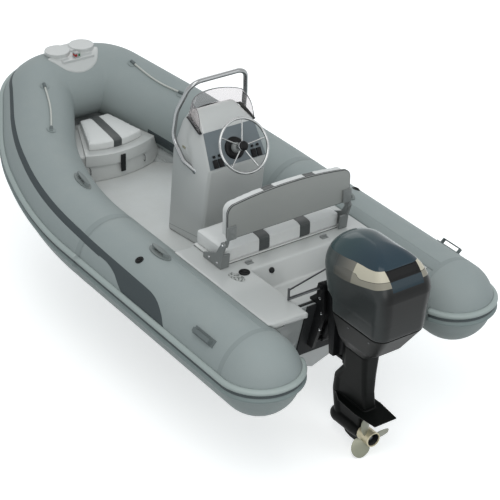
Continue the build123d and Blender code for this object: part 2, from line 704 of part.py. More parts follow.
# Grab rail round the windscreen: a hoop with its feet on the console's sides
port_rail = [(1326, CONSOLE_HALF - 12, 476), (1390, 236, 530), (1482, 252, 650), (1455, 245, 830),
             (1380, 190, 1026)]
rail_points = port_rail + [(x, -y, z) for x, y, z in reversed(port_rail)]
rail_path = FilletPolyline(*rail_points, radius=[70, 110, 260, 85, 85, 260, 110, 70])
rail_start = Plane(origin=rail_path @ 0, z_dir=rail_path % 0)
save("grab_rail", sweep(rail_start * Circle(RAIL_R), path=rail_path) - console)

# ======================================= outboard motor ====================================
# Two clamp plates hooked over the transom and bolted through the pad
hook_z = TRANSOM_TOP + 3


def clamp_face(z):
    """Where the clamp plates meet the pad."""
    return transom_x(z) - PAD_T - SEAM


clamp_side = [
    (TILT_X - 26, TILT_Z), (TILT_X + 26, TILT_Z), (TILT_X + 36, 165),
    (HOOK_X, hook_z + 14), (HOOK_X, hook_z),
    (clamp_face(hook_z), hook_z), (clamp_face(CLAMP_BOTTOM), CLAMP_BOTTOM),
    (clamp_face(CLAMP_BOTTOM) - 52, CLAMP_BOTTOM), (TILT_X - 36, 60),
]
inner_y = CLAMP_Y - CLAMP_T / 2
outer_y = CLAMP_Y + CLAMP_T / 2
clamp = side_profile(clamp_side, inner_y, outer_y)
clamp = clamp + rod((TILT_X, inner_y, TILT_Z), (TILT_X, outer_y, TILT_Z), 30)
clamp = clamp - rod((TILT_X, inner_y - 1, TILT_Z), (TILT_X, outer_y + 1, TILT_Z), TILT_TUBE_R + SEAM)
cross_pin = rod((CYLINDER_FOOT[0], -inner_y - 1, CYLINDER_FOOT[1]),
                (CYLINDER_FOOT[0], inner_y + 1, CYLINDER_FOOT[1]), 9)
save("clamp_bracket", clamp + mirrored(clamp) + cross_pin)

# The tilt tube runs through both plates; the swivel bracket hangs on it
swivel_half = inner_y - GAP
tube = rod((TILT_X, -outer_y - 14, TILT_Z), (TILT_X, outer_y + 14, TILT_Z), TILT_TUBE_R)
tube_bore = rod((TILT_X, -outer_y - 20, TILT_Z), (TILT_X, outer_y + 20, TILT_Z), RAM_R + SEAM)
swivel_side = [
    (TILT_X + 8, TILT_Z + 26), (TILT_X - 20, TILT_Z + 20), (SWIVEL_X, SWIVEL_HIGH),
    (SWIVEL_X, SWIVEL_LOW), (SWIVEL_X + 40, SWIVEL_LOW), (SWIVEL_X + 62, 20),
    (TILT_X + 12, TILT_Z - 24),
]
swivel = side_profile(swivel_side, -swivel_half, -swivel_half + 20)
swivel = swivel + mirrored(swivel)
swivel = swivel + side_profile([
    (SWIVEL_X, SWIVEL_HIGH), (SWIVEL_X + 26, SWIVEL_HIGH), (SWIVEL_X + 26, SWIVEL_LOW),
    (SWIVEL_X, SWIVEL_LOW)], -swivel_half, swivel_half)
lug = rod((TILT_X, swivel_half - 20, TILT_Z), (TILT_X, swivel_half, TILT_Z), TILT_LUG_R)
swivel = swivel + lug + mirrored(lug)
swivel = swivel + rod((SWIVEL_X, 0, SWIVEL_LOW), (SWIVEL_X, 0, SWIVEL_HIGH), SWIVEL_R) + tube
swivel = swivel - rod((SWIVEL_X, 0, SWIVEL_LOW - 1), (SWIVEL_X, 0, SWIVEL_HIGH + 1), PIVOT_R + SEAM)
swivel = swivel - tube_bore
save("swivel_bracket", swivel)

# Tilt cylinder: its barrel on the clamps' cross pin, its rod up to the swivel bracket
foot = Vector(CYLINDER_FOOT[0], 0, CYLINDER_FOOT[1])
head = Vector(CYLINDER_HEAD[0], 0, CYLINDER_HEAD[1])
along = (head - foot).normalized()
barrel_low, barrel_high = foot + along * 22, foot + along * BARREL_L
barrel = rod(barrel_low, barrel_high, BARREL_R)
barrel = barrel + rod((foot.X, -24, foot.Z), (foot.X, 24, foot.Z), BARREL_EYE_R)
barrel = barrel + rod(foot, barrel_low + along, BARREL_EYE_R - 4)
barrel = barrel - rod((foot.X, -25, foot.Z), (foot.X, 25, foot.Z), 9 + SEAM)
rod_low = foot + along * 50
barrel = barrel - rod(rod_low, (barrel_high + along), ROD_R + SEAM)
save("tilt_cylinder", barrel)
tilt_rod = rod((rod_low + along * 2), (head - along * 8), ROD_R)
pin_half = swivel_half - 20 - 1
tilt_rod = tilt_rod + rod((head.X, -pin_half, head.Z), (head.X, pin_half, head.Z), 11)
save("tilt_rod", tilt_rod)

# Steering ram through the tilt tube, with its link to the motor's steering arm
ram_end = (TILT_X, RAM_Y, TILT_Z)
link_z = ARM_Z + 16
ram = rod((TILT_X, -outer_y - 4, TILT_Z), ram_end, RAM_R)
ram = ram + rod((TILT_X, RAM_Y, TILT_Z - 8), (TILT_X, RAM_Y, link_z + 9), RAM_POST_R)
ram = ram + rod((TILT_X, RAM_Y, link_z), (ARM_TIP_X, 0, link_z), RAM_LINK_R)
ram = ram + rod((ARM_TIP_X, 0, link_z - 9.5), (ARM_TIP_X, 0, link_z + 9), RAM_EYE_R)
save("steering_ram", ram)


def plan_face(z, fwd, aft, half, nose, corner):
    """Plan section of the motor: bowed nose, straight sides, rounded aft corners."""
    shoulder, turn = fwd - nose, corner * (1 - math.sqrt(0.5))
    lines = [
        ThreePointArc((shoulder, half), (fwd, 0), (shoulder, -half)),
        Line((shoulder, -half), (aft + corner, -half)),
        ThreePointArc((aft + corner, -half), (aft + turn, -half + turn), (aft, -half + corner)),
        Line((aft, -half + corner), (aft, half - corner)),
        ThreePointArc((aft, half - corner), (aft + turn, half - turn), (aft + corner, half)),
        Line((aft + corner, half), (shoulder, half)),
    ]
    return Pos(0, 0, z) * make_face(lines)


def stack(rows, inset=0):
    """Straight-sided lofts between plan sections: z, forward, aft, half, nose, corner."""
    faces = [plan_face(z, fwd - inset, aft + inset, half - inset, nose, corner)
             for z, fwd, aft, half, nose, corner in rows]
    solid = loft(faces[:2], ruled=True)
    for low, high in zip(faces[1:], faces[2:]):
        solid = solid + loft([low, high], ruled=True)
    return solid


cover = stack(COVER_SECTIONS) - stack(COVER_SECTIONS[:-1], COWL_WALL)
save("engine_cover", cover)
pan = stack(PAN_SECTIONS + COVER_SECTIONS[:1])

# The drive column rises through the front of the pan to the upper yoke
pivot_low, pivot_high = SWIVEL_LOW - YOKE_T - 2, SWIVEL_HIGH + YOKE_T + 2
column = box(*COLUMN_X, -COLUMN_HALF, COLUMN_HALF, LEG_SECTIONS[1][0], pivot_high)
column_room = box(COLUMN_X[0] - SEAM, COLUMN_X[1] + 20, -COLUMN_HALF - SEAM, COLUMN_HALF + SEAM,
                  LEG_TOP - 1, pivot_high + SEAM)
save("engine_pan", pan - column_room)
save("engine_block", box(*ENGINE_X, -ENGINE_HALF, ENGINE_HALF, COVER_SECTIONS[0][0], ENGINE_TOP))

leg = stack(LEG_SECTIONS) + column
leg = leg + rod((SWIVEL_X, 0, pivot_low), (SWIVEL_X, 0, pivot_high), PIVOT_R)
leg = leg + box(COLUMN_X[1] - 1, SWIVEL_X + 30, -34, 34, pivot_low, pivot_low + YOKE_T)
leg = leg + box(COLUMN_X[1] - 1, SWIVEL_X + 30, -30, 30, pivot_high - YOKE_T, pivot_high)
post = box(SWIVEL_X - 22, SWIVEL_X + 22, -16, 16, pivot_high - 1, ARM_Z + ARM_T / 2)
leg = leg + post + box(SWIVEL_X, ARM_TIP_X + 12, -11, 11, ARM_Z - ARM_T / 2, ARM_Z + ARM_T / 2)
save("midsection", leg)

gear_nose = GEARCASE_X[1]
torpedo_outline = [
    ThreePointArc((gear_nose, 0), (gear_nose - 20, GEARCASE_R * 0.62), (gear_nose - 80, GEARCASE_R)),
    Line((gear_nose - 80, GEARCASE_R), (GEARCASE_X[0] + 60, GEARCASE_R)),
    Line((GEARCASE_X[0] + 60, GEARCASE_R), (GEARCASE_X[0], PROP_HUB_R)),
    Line((GEARCASE_X[0], PROP_HUB_R), (GEARCASE_X[0], 0)), Line((GEARCASE_X[0], 0), (gear_nose, 0)),
]
torpedo = revolve(make_face(torpedo_outline), Axis.X)
gearcase = Pos(0, 0, SHAFT_Z) * torpedo + stack(STRUT_SECTIONS)
plate = make_face(Polyline(*ANTIVENT_OUTLINE, *[(x, -y) for x, y in reversed(ANTIVENT_OUTLINE)],
                           close=True))
gearcase = gearcase + extrude(Pos(0, 0, ANTIVENT_Z) * plate, ANTIVENT_T, dir=(0, 0, 1))
gearcase = gearcase + side_profile(SKEG_SIDE, -SKEG_T / 2, SKEG_T / 2)
save("gearcase", gearcase)

# Propeller: a hub with the exhaust through it, and its blades
hub_length = PROP_HUB_X[1] - PROP_HUB_X[0]
hub_low = Plane(origin=(PROP_HUB_X[0], 0, SHAFT_Z), z_dir=(1, 0, 0))
hub = extrude(hub_low * Circle(PROP_HUB_R), hub_length)
propeller = hub - extrude(hub_low * Circle(PROP_HUB_R - 7), hub_length - 12)
propeller = propeller + rod((PROP_HUB_X[0] + 24, 0, SHAFT_Z),
                            (GEARCASE_X[0] - 0.5, 0, SHAFT_Z), 16)
blade_reach = PROP_R - PROP_HUB_R
for number in range(PROP_BLADES):
    blade = Pos(0, 0, PROP_HUB_R + blade_reach / 2 - 3) * Rot(90, 0, 0) * extrude(
        Ellipse(BLADE_HALF, blade_reach / 2 + 3), BLADE_T / 2, both=True)
    blade = Rot(0, 0, 90 - PROP_PITCH) * blade
    angle = BLADE_START + 360 * number / PROP_BLADES
    middle = Pos((PROP_HUB_X[0] + PROP_HUB_X[1]) / 2, 0, SHAFT_Z)
    propeller = propeller + middle * Rot(angle, 0, 0) * blade
save("propeller", propeller)

# ======================================== fittings =========================================
bow_axis = bow_path()


def tube_plane(run, angle, height=SEAM):
    """Tangent to the port tube's skin: local x along the tube, local z off its skin.

    run is the distance along the tube's axis from the stern, angle is measured round the
    tube, up from its outboard side, and height is the distance off the skin.
    """
    if run < CHAMBER_X:
        centre, along = Vector(run, TUBE_Y, 0), Vector(1, 0, 0)
    else:
        share = (run - CHAMBER_X) / bow_axis.length
        centre, along = bow_axis @ share, bow_axis % share
    outboard = Vector(0, 0, 1).cross(along).normalized()
    turn = math.radians(angle)
    normal = outboard * math.cos(turn) + along.cross(outboard) * math.sin(turn)
    return Plane(origin=centre + normal * (TUBE_R + height), x_dir=along, z_dir=normal)


def on_skin(solid, run):
    """Trim a piece that was drawn a little into a tube back to its skin."""
    room = tube_rooms[0] if run < CHAMBER_X else tube_rooms[2]
    return max((solid - room).solids(), key=lambda piece: piece.volume)


def lens_handle(run, angle):
    """A moulded handle: a low oval base with a raised grip along the tube."""
    plane = tube_plane(run, angle, -SUNK)
    base_top = SUNK + HANDLE_BASE_T
    grip_top = SUNK + HANDLE_RISE
    base = extrude(plane * Ellipse(HANDLE_L / 2, HANDLE_W / 2), base_top)
    grip = extrude(plane * Ellipse(HANDLE_L / 2 - 16, HANDLE_GRIP_W / 2), grip_top)
    finger_gap = Box(HANDLE_GAP_L, HANDLE_W, grip_top - HANDLE_GRIP_T - base_top,
                     align=(Align.CENTER, Align.CENTER, Align.MIN))
    return on_skin(base + (grip - plane * Pos(0, 0, base_top) * finger_gap), run)


def carry_handle(run, angle):
    """A webbing loop on a pad, near the stern."""
    plane = tube_plane(run, angle, -SUNK)
    pad_piece = extrude(plane * Rectangle(CARRY_PAD_L, CARRY_PAD_W), SUNK + PATCH_T)
    top = SUNK + CARRY_RISE
    loop = Box(CARRY_L, CARRY_W, top, align=(Align.CENTER, Align.CENTER, Align.MIN))
    loop = loop - Box(CARRY_L - 4 * WEBBING_T, CARRY_W + 2, top - WEBBING_T,
                      align=(Align.CENTER, Align.CENTER, Align.MIN))
    return on_skin(pad_piece + plane * loop, run)


def inflation_valve(run, angle):
    """A round boss with its cap."""
    plane = tube_plane(run, angle, -SUNK)
    flange = extrude(plane * Circle(VALVE_R), SUNK + PATCH_T)
    return on_skin(flange + extrude(plane * Circle(VALVE_CAP_R), SUNK + VALVE_RISE), run)


for name, maker, places in (
    ("tube_handles", lens_handle, HANDLE_PLACES),
    ("carry_handles", carry_handle, CARRY_PLACES),
    ("inflation_valves", inflation_valve, VALVE_PLACES),
):
    port_pieces = [maker(run, angle) for run, angle in places]
    save(name, *port_pieces, *[mirrored(piece) for piece in port_pieces])

# Deck fittings: two screw caps on the deck, and the drain in the well's front wall
caps = [Pos(DECK_CAP_X, y, DECK_Z) * Cylinder(DECK_CAP_R, 8, align=(Align.CENTER, Align.CENTER, Align.MIN))
        for y in (-DECK_CAP_Y, DECK_CAP_Y)]
save("deck_caps", *caps)
wall_drop = DECK_Z + 1 - WELL_Z
wall = Plane(origin=(WELL_FWD_X - WELL_SLOPE * 0.3, 168, DECK_Z + 1 - wall_drop * 0.3),
             z_dir=(-wall_drop, 0, WELL_SLOPE))
save("well_drain", extrude(wall * Circle(17), 9))
cover_oval = extrude(Pos(572, 417, DECK_Z) * Rot(0, 0, 12) * Ellipse(60, 30), 3)
save("deck_plate", cover_oval)


def eye(plane):
    """A round bar bent to a U that stands on a surface, its feet along local y."""
    points = [plane * Pos(0, y, z) for y, z in
              ((-EYE_HALF, 0), (-EYE_HALF, EYE_REACH), (EYE_HALF, EYE_REACH), (EYE_HALF, 0))]
    path = FilletPolyline(*[place.position for place in points], radius=[EYE_HALF - 1] * 2)
    start = Plane(origin=path @ 0, z_dir=path % 0)
    return sweep(start * Circle(EYE_BAR_R), path=path)


# One low on the stem for towing, two on the transom
stem_aft, stem_fwd = HULL_SECTIONS[-2], HULL_SECTIONS[-1]
stem_rise = (stem_fwd[1] - stem_aft[1]) / (stem_fwd[0] - stem_aft[0])
stem_eye_z = stem_aft[1] + stem_rise * (STEM_EYE_X - stem_aft[0])
stem_plane = Plane(origin=(STEM_EYE_X, 0, stem_eye_z), x_dir=(0, 1, 0), z_dir=(stem_rise, 0, -1))
save("stem_eye", eye(stem_plane))
eye_y, eye_z = TRANSOM_EYE
transom_plane = Plane(origin=(transom_x(eye_z), eye_y, eye_z), x_dir=(rake, 0, -1),
                      z_dir=(-1, 0, -rake))
transom_eye = eye(transom_plane)
save("transom_eyes", transom_eye, mirrored(transom_eye))

# Bow grab lines: a rope along each tube, between two patches with a boss each
line_points = [tube_plane(*place).origin for place in LINE_PLACES]
line_runs = list(zip(line_points, line_points[1:]))
line_bends = []
for (a, b), (c, d) in zip(line_runs, line_runs[1:]):
    turn = math.radians((b - a).get_angle(d - c))
    line_bends.append(0.45 * min((b - a).length, (d - c).length) / math.tan(turn / 2))
print("grab line radii", [round(bend) for bend in line_bends])
line_path = FilletPolyline(*line_points, radius=line_bends)
line_start = Plane(origin=line_path @ 0, z_dir=line_path % 0)
line_port = sweep(line_start * Circle(LINE_R), path=line_path)
print("grab line length", round(line_path.length))
save("grab_line_port", line_port)
save("grab_line_starboard", mirrored(line_port))

patches = []
for end, outward, place in (
    (line_path @ 0, line_path % 0 * -1, LINE_PLACES[0]),
    (line_path @ 1, line_path % 1, LINE_PLACES[-1]),
):
    boss = extrude(Plane(origin=end, z_dir=outward) * Circle(BOSS_R), BOSS_L)
    middle = tube_plane(place[0] + math.copysign(BOSS_L / 2, outward.X), place[1], -SUNK)
    disc = extrude(middle * Circle(PATCH_R), SUNK + PATCH_T)
    patches.append(on_skin(boss + disc, place[0]))
save("line_patches", *patches, *[mirrored(patch) for patch in patches])
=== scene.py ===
import math
from contextlib import contextmanager

import bmesh
import bpy
import numpy as np
from mathutils import Matrix, Vector


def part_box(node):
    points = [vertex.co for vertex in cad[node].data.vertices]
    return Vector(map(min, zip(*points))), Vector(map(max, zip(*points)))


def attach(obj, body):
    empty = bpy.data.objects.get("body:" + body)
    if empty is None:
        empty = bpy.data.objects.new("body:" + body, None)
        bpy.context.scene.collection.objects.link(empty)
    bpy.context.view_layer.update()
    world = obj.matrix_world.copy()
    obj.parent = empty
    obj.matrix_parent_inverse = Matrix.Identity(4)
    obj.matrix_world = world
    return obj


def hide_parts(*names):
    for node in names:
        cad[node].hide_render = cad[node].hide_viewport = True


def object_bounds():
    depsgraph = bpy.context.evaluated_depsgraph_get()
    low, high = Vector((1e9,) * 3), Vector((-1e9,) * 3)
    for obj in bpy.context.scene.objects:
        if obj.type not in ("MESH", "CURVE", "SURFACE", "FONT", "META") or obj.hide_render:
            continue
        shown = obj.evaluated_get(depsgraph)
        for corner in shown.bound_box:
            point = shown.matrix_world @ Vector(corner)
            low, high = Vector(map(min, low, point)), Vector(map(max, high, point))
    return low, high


# Looks of the rigid inflatable boat. Metres, +X forward, +Y to port, +Z up, origin on the
# centreline at the waterline.

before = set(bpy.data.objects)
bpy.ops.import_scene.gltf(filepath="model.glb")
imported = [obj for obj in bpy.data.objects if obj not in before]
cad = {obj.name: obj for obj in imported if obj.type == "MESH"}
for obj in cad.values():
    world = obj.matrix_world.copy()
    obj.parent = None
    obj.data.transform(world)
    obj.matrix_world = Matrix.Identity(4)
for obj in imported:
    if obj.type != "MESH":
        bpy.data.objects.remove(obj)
cad_low, cad_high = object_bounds()

ORIGIN_X, WATERLINE = 1.5, -0.2    # where the origin lies, from the tubes' stern ends and axis
TUBE_R, TUBE_Y = 0.235, 0.682
CAP_X = -0.026
CHAMBER_RUN = 1.5


def at(x, y, z):
    """A place given from the tubes' stern ends and axis height, in metres."""
    return Vector((x - ORIGIN_X, y, z - WATERLINE))


def srgb(red, green, blue):
    """A colour of 0 to 255 a channel, as the renderer reads it."""
    def linear(c):
        c /= 255
        return c / 12.92 if c <= 0.04045 else ((c + 0.055) / 1.055) ** 2.4
    return (linear(red), linear(green), linear(blue), 1.0)


# ===== camera =====
def set_camera():
    """A long lens from above, astern and to port."""
    data = bpy.data.cameras.new("camera")
    data.lens, data.sensor_width = 129.118, 36
    data.clip_start, data.clip_end = 0.5, 60
    camera = bpy.data.objects.new("camera", data)
    bpy.context.scene.collection.objects.link(camera)
    az, el, roll = math.radians(234.17), math.radians(30.358), math.radians(1.441)
    back = Vector((math.sin(az) * math.cos(el), -math.cos(az) * math.cos(el), math.sin(el)))
    right = Vector((0, 0, 1)).cross(back).normalized()
    up = back.cross(right)
    x_axis = right * math.cos(roll) + up * math.sin(roll)
    y_axis = up * math.cos(roll) - right * math.sin(roll)
    place = Matrix((x_axis, y_axis, back)).transposed().to_4x4()
    place.translation = (-7.9496, 5.3990, 5.6265)
    camera.matrix_world = place
    bpy.context.scene.camera = camera


set_camera()


# ===== shader groups =====
class Wiring:
    """Adds nodes to a tree and joins them."""

    def __init__(self, tree):
        self.tree = tree

    def node(self, kind, inputs=None, **settings):
        made = self.tree.nodes.new(kind)
        for key, value in settings.items():
            setattr(made, key, value)
        for key, value in (inputs or {}).items():
            if isinstance(value, bpy.types.NodeSocket):
                self.tree.links.new(value, made.inputs[key])
            else:
                made.inputs[key].default_value = value
        return made

    def noise(self, place, scale, detail):
        return self.node("ShaderNodeTexNoise", {"Vector": place, "Scale": scale,
                                                "Detail": detail}).outputs[0]

    def split(self, place):
        return self.node("ShaderNodeSeparateXYZ", {"Vector": place}).outputs

    def math(self, operation, a, b=0.0, c=None, clamp=False):
        values = dict(enumerate((a, b) if c is None else (a, b, c)))
        return self.node("ShaderNodeMath", values, operation=operation,
                         use_clamp=clamp).outputs[0]

    def times(self, first, *others):
        for other in others:
            first = self.math("MULTIPLY", first, other)
        return first

    def minus(self, a, b):
        return self.math("SUBTRACT", a, b)

    def rest(self, share):
        return self.minus(1.0, share)

    def mix(self, share, a, b):
        return self.node("ShaderNodeMix", {0: share, 6: a, 7: b}, data_type="RGBA").outputs[2]

    def ramp(self, share, low, high):
        made = self.node("ShaderNodeMapRange", {"Value": share, "From Min": low, "From Max": high})
        made.interpolation_type = "SMOOTHSTEP"
        return made.outputs[0]


def wiring_of(owner):
    """The emptied wiring of a material or a world."""
    owner.use_nodes = True
    owner.node_tree.nodes.clear()
    return Wiring(owner.node_tree)


def effect(name, inputs, outputs, build):
    """A shader node group with named inputs and outputs."""
    tree = bpy.data.node_groups.new(name, "ShaderNodeTree")
    for title, kind, value in inputs:
        socket = tree.interface.new_socket(title, in_out="INPUT", socket_type=kind)
        if value is not None:
            socket.default_value = value
    for title, kind in outputs:
        tree.interface.new_socket(title, in_out="OUTPUT", socket_type=kind)
    w = Wiring(tree)
    source, sink = w.node("NodeGroupInput"), w.node("NodeGroupOutput")
    for title, socket in build(w, source.outputs).items():
        tree.links.new(socket, sink.inputs[title])
    return tree


COLOUR, NUMBER, VECTOR = "NodeSocketColor", "NodeSocketFloat", "NodeSocketVector"


def build_mottle(w, given):
    """Slow and fine variation of a colour, as on anything that has been used."""
    slow = w.node("ShaderNodeTexNoise", {"Vector": given["Vector"], "Scale": given["Scale"],
                                         "Detail": 3.0, "Roughness": 0.55})
    fine = w.noise(given["Vector"], w.times(given["Scale"], 14.0), 2.0)
    both = w.math("ADD", w.times(slow.outputs[0], 0.7), w.times(fine, 0.3))
    centred = w.minus(both, 0.5)
    value = w.math("MULTIPLY_ADD", centred, w.times(given["Amount"], 2.0), 1.0)
    toned = w.node("ShaderNodeHueSaturation", {"Color": given["Color"], "Value": value})
    rough = w.math("MULTIPLY_ADD", centred, w.times(given["Amount"], 1.2), given["Roughness"],
                   clamp=True)
    return {"Color": toned.outputs[0], "Roughness": rough}


def build_weave(w, given):
    """Plain weave of two thread directions on a map in metres."""
    across = w.split(given["Vector"])
    turns = w.times(given["Threads"], math.tau)
    waves = [w.math("SINE", w.times(across[n], turns)) for n in (0, 1)]
    return {"Height": w.math("MULTIPLY_ADD", w.times(*waves), 0.5, 0.5)}


def build_grain(w, given):
    """Leather-like grain: rounded cells with fine pores."""
    cells = w.node("ShaderNodeTexVoronoi", {"Vector": given["Vector"], "Scale": given["Scale"]},
                   feature="SMOOTH_F1")
    pores = w.noise(given["Vector"], w.times(given["Scale"], 2.7), 2.0)
    return {"Height": w.math("MULTIPLY_ADD", pores, 0.35,
                             w.times(cells.outputs["Distance"], 0.8))}


def build_dust(w, given):
    """Pale dust that settles on what faces up."""
    normal = w.node("ShaderNodeNewGeometry").outputs["Normal"]
    patches = w.noise(given["Vector"], 9.0, 4.0)
    share = w.times(w.ramp(w.split(normal)[2], 0.2, 1.0), w.ramp(patches, 0.35, 0.75),
                    given["Amount"])
    return {"Color": w.mix(share, given["Color"], given["Dust"])}


def build_wear(w, given):
    """Edges and corners rubbed to another colour."""
    edge = w.node("ShaderNodeNewGeometry").outputs["Pointiness"]
    scratches = w.noise(given["Vector"], 60.0, 4.0)
    share = w.times(w.ramp(edge, 0.53, 0.62), w.ramp(scratches, 0.4, 0.6), given["Amount"])
    return {"Color": w.mix(share, given["Color"], given["Worn"]), "Worn": share}


MOTTLE = effect("mottle", [("Color", COLOUR, None), ("Vector", VECTOR, None),
                           ("Scale", NUMBER, 3.0), ("Amount", NUMBER, 0.1),
                           ("Roughness", NUMBER, 0.5)],
                [("Color", COLOUR), ("Roughness", NUMBER)], build_mottle)
WEAVE = effect("weave", [("Vector", VECTOR, None), ("Threads", NUMBER, 500.0)],
               [("Height", NUMBER)], build_weave)
GRAIN = effect("leather grain", [("Vector", VECTOR, None), ("Scale", NUMBER, 400.0)],
               [("Height", NUMBER)], build_grain)
DUST = effect("dust", [("Color", COLOUR, None), ("Dust", COLOUR, None), ("Vector", VECTOR, None),
                       ("Amount", NUMBER, 0.2)], [("Color", COLOUR)], build_dust)
WEAR = effect("edge wear", [("Color", COLOUR, None), ("Worn", COLOUR, None),
                            ("Vector", VECTOR, None), ("Amount", NUMBER, 0.5)],
              [("Color", COLOUR), ("Worn", NUMBER)], build_wear)


# ===== materials =====
DUST_COLOUR = (176, 174, 166)


def finish_of(name, colour, rough, metal=0.0, mottle=(3.0, 0.08), bump=None, dust=0.0,
              wear=None, map_name=None, paint=None, **plain):
    """A principled material. bump is (group or noise scale, its number, height in metres).

    paint, if given, is a function that draws over the base colour: it takes the wiring and
    the object coordinates and returns (share, colour) or (share, colour, roughness).
    """
    material = bpy.data.materials.new(name)
    w = wiring_of(material)
    tree = w.tree
    shader = w.node("ShaderNodeBsdfPrincipled")
    sink = w.node("ShaderNodeOutputMaterial")
    tree.links.new(shader.outputs[0], sink.inputs[0])
    place = w.node("ShaderNodeTexCoord").outputs["Object"]
    mapped = w.node("ShaderNodeUVMap", uv_map=map_name).outputs[0] if map_name else place
    base = srgb(*colour)
    for share, over, *shine in (paint(w, place) if paint else []):
        base = w.mix(share, base, over if isinstance(over, bpy.types.NodeSocket) else srgb(*over))
        if shine:
            rough = w.math("MULTIPLY_ADD", share, w.minus(shine[0], rough), rough)
    spots = w.node("ShaderNodeGroup", {
        "Color": base, "Vector": place, "Scale": mottle[0], "Amount": mottle[1],
        "Roughness": rough}, node_tree=MOTTLE)
    out = spots.outputs["Color"]
    if dust:
        out = w.node("ShaderNodeGroup", {
            "Color": out, "Dust": srgb(*DUST_COLOUR), "Vector": place, "Amount": dust},
            node_tree=DUST).outputs[0]
    if wear:
        out = w.node("ShaderNodeGroup", {
            "Color": out, "Worn": srgb(*wear[0]), "Vector": place, "Amount": wear[1]},
            node_tree=WEAR).outputs["Color"]
    tree.links.new(out, shader.inputs["Base Color"])
    tree.links.new(spots.outputs["Roughness"], shader.inputs["Roughness"])
    shader.inputs["Metallic"].default_value = metal
    if bump:
        source, number, height = bump
        if source in (WEAVE, GRAIN):
            relief = w.node("ShaderNodeGroup", {0: mapped, 1: number},
                            node_tree=source).outputs[0]
        else:
            relief = w.noise(place, number, 3.0)
        bumped = w.node("ShaderNodeBump", {"Height": relief, "Distance": height,
                                           "Strength": 1.0})
        tree.links.new(bumped.outputs[0], shader.inputs["Normal"])
    for key, value in plain.items():
        shader.inputs[key.replace("_", " ")].default_value = value
    return material


def band_mask(w, coordinate, middle, half, soft=0.0006):
    """1 where a coordinate lies within half of middle, with a crisp edge."""
    off = w.math("ABSOLUTE", w.minus(coordinate, middle))
    return w.math("SUBTRACT", 1.0, w.ramp(off, half - soft, half + soft), clamp=True)


WOVEN = {"bump": (WEAVE, 420.0, 0.00012), "map_name": "skin"}
tube_fabric = finish_of("tube fabric", (141, 149, 148), 0.56, mottle=(2.2, 0.035), dust=0.06,
                        Specular_IOR_Level=0.25, **WOVEN)
seam_tape = finish_of("seam tape", (133, 141, 140), 0.55, mottle=(5.0, 0.04),
                      Specular_IOR_Level=0.25, **WOVEN)
stripe_fabric = finish_of("dark applique", (66, 73, 75), 0.55, mottle=(4.0, 0.05),
                          Specular_IOR_Level=0.15, **WOVEN)
# Rub strake: its upper ridge painted lighter as lit from above, its lower ridge painted darker as
# in shade
strake_ridge_painted_lit = finish_of("rubber, upper ridge painted lit", (150, 160, 157), 0.5, mottle=(6.0, 0.06),
                        bump=(None, 900.0, 0.0002), wear=((176, 182, 180), 0.3))
strake_ridge_painted_shade = finish_of("rubber, lower ridge painted shaded", (112, 124, 123), 0.5, mottle=(6.0, 0.06),
                        bump=(None, 900.0, 0.0002))
strake_dark = finish_of("rubber, groove", (58, 66, 68), 0.6, mottle=(6.0, 0.08),
                        bump=(None, 900.0, 0.0002))


def marbled(w, place):
    """Faint waviness of laid-up gelcoat."""
    return [(w.times(w.ramp(w.noise(place, 1.3, 2.0), 0.35, 0.7), 0.35), (187, 189, 187))]


def gelcoat_of(name, paint):
    return finish_of(name, (179, 181, 179), 0.32, mottle=(2.5, 0.03), dust=0.06,
                     bump=(None, 4.0, 0.0006), paint=paint, Coat_Weight=0.35,
                     Coat_Roughness=0.18)


gelcoat = gelcoat_of("gelcoat, deck", marbled)
hull_gelcoat = finish_of("gelcoat, hull", (166, 170, 169), 0.3, mottle=(1.6, 0.04),
                         bump=(None, 3.0, 0.0008), Coat_Weight=0.4, Coat_Roughness=0.15)


TREADS_A_METRE = 62


def tread(w, place):
    """Rows of small raised lozenges."""
    x, y, _ = w.split(place)
    waves = [w.math("SINE", w.times(c, math.tau * TREADS_A_METRE))
             for c in (w.math("ADD", x, y), w.minus(x, y))]
    return [(w.times(w.ramp(w.times(*waves), 0.1, 0.7), 0.25), (160, 163, 161))]


sole_finish = finish_of("gelcoat, anti-slip", (200, 202, 200), 0.55, mottle=(3.0, 0.05),
                        dust=0.12, bump=(GRAIN, 260.0, 0.0006), paint=tread)
panel_grey = finish_of("backrest shell", (140, 142, 139), 0.5, mottle=(3.5, 0.05),
                       bump=(GRAIN, 300.0, 0.0003), dust=0.06)
piping = finish_of("dark piping", (44, 47, 48), 0.5, mottle=(8.0, 0.1),
                   bump=(None, 500.0, 0.0003))
bracket_grey = finish_of("painted bracket", (114, 117, 116), 0.4, mottle=(6.0, 0.06),
                         bump=(None, 240.0, 0.0002), wear=((140, 142, 140), 0.35))
dash_grey = finish_of("dash plate", (92, 101, 105), 0.42, mottle=(5.0, 0.05),
                      bump=(None, 380.0, 0.0002))
black_plastic = finish_of("black plastic", (15, 16, 17), 0.4, mottle=(7.0, 0.15),
                          bump=(None, 600.0, 0.00025), wear=((60, 62, 63), 0.2),
                          Specular_IOR_Level=0.15)
black_rubber = finish_of("black rubber", (30, 32, 33), 0.62, mottle=(7.0, 0.15),
                         bump=(None, 300.0, 0.0003), dust=0.1,
                         Specular_IOR_Level=0.15)
handle_rubber = finish_of("handle rubber", (106, 113, 112), 0.55, mottle=(8.0, 0.08),
                          bump=(None, 300.0, 0.0003), dust=0.1)
webbing = finish_of("webbing", (92, 100, 100), 0.7, mottle=(12.0, 0.1),
                    bump=(None, 700.0, 0.0005))
stainless = finish_of("stainless steel", (196, 198, 200), 0.16, metal=1.0, mottle=(9.0, 0.05),
                      bump=(None, 140.0, 0.00005))


def speckled(w, place):
    """A worn foil, grey through its silver."""
    return [(w.ramp(w.noise(place, 85.0, 3.0), 0.47, 0.58), (84, 88, 86))]


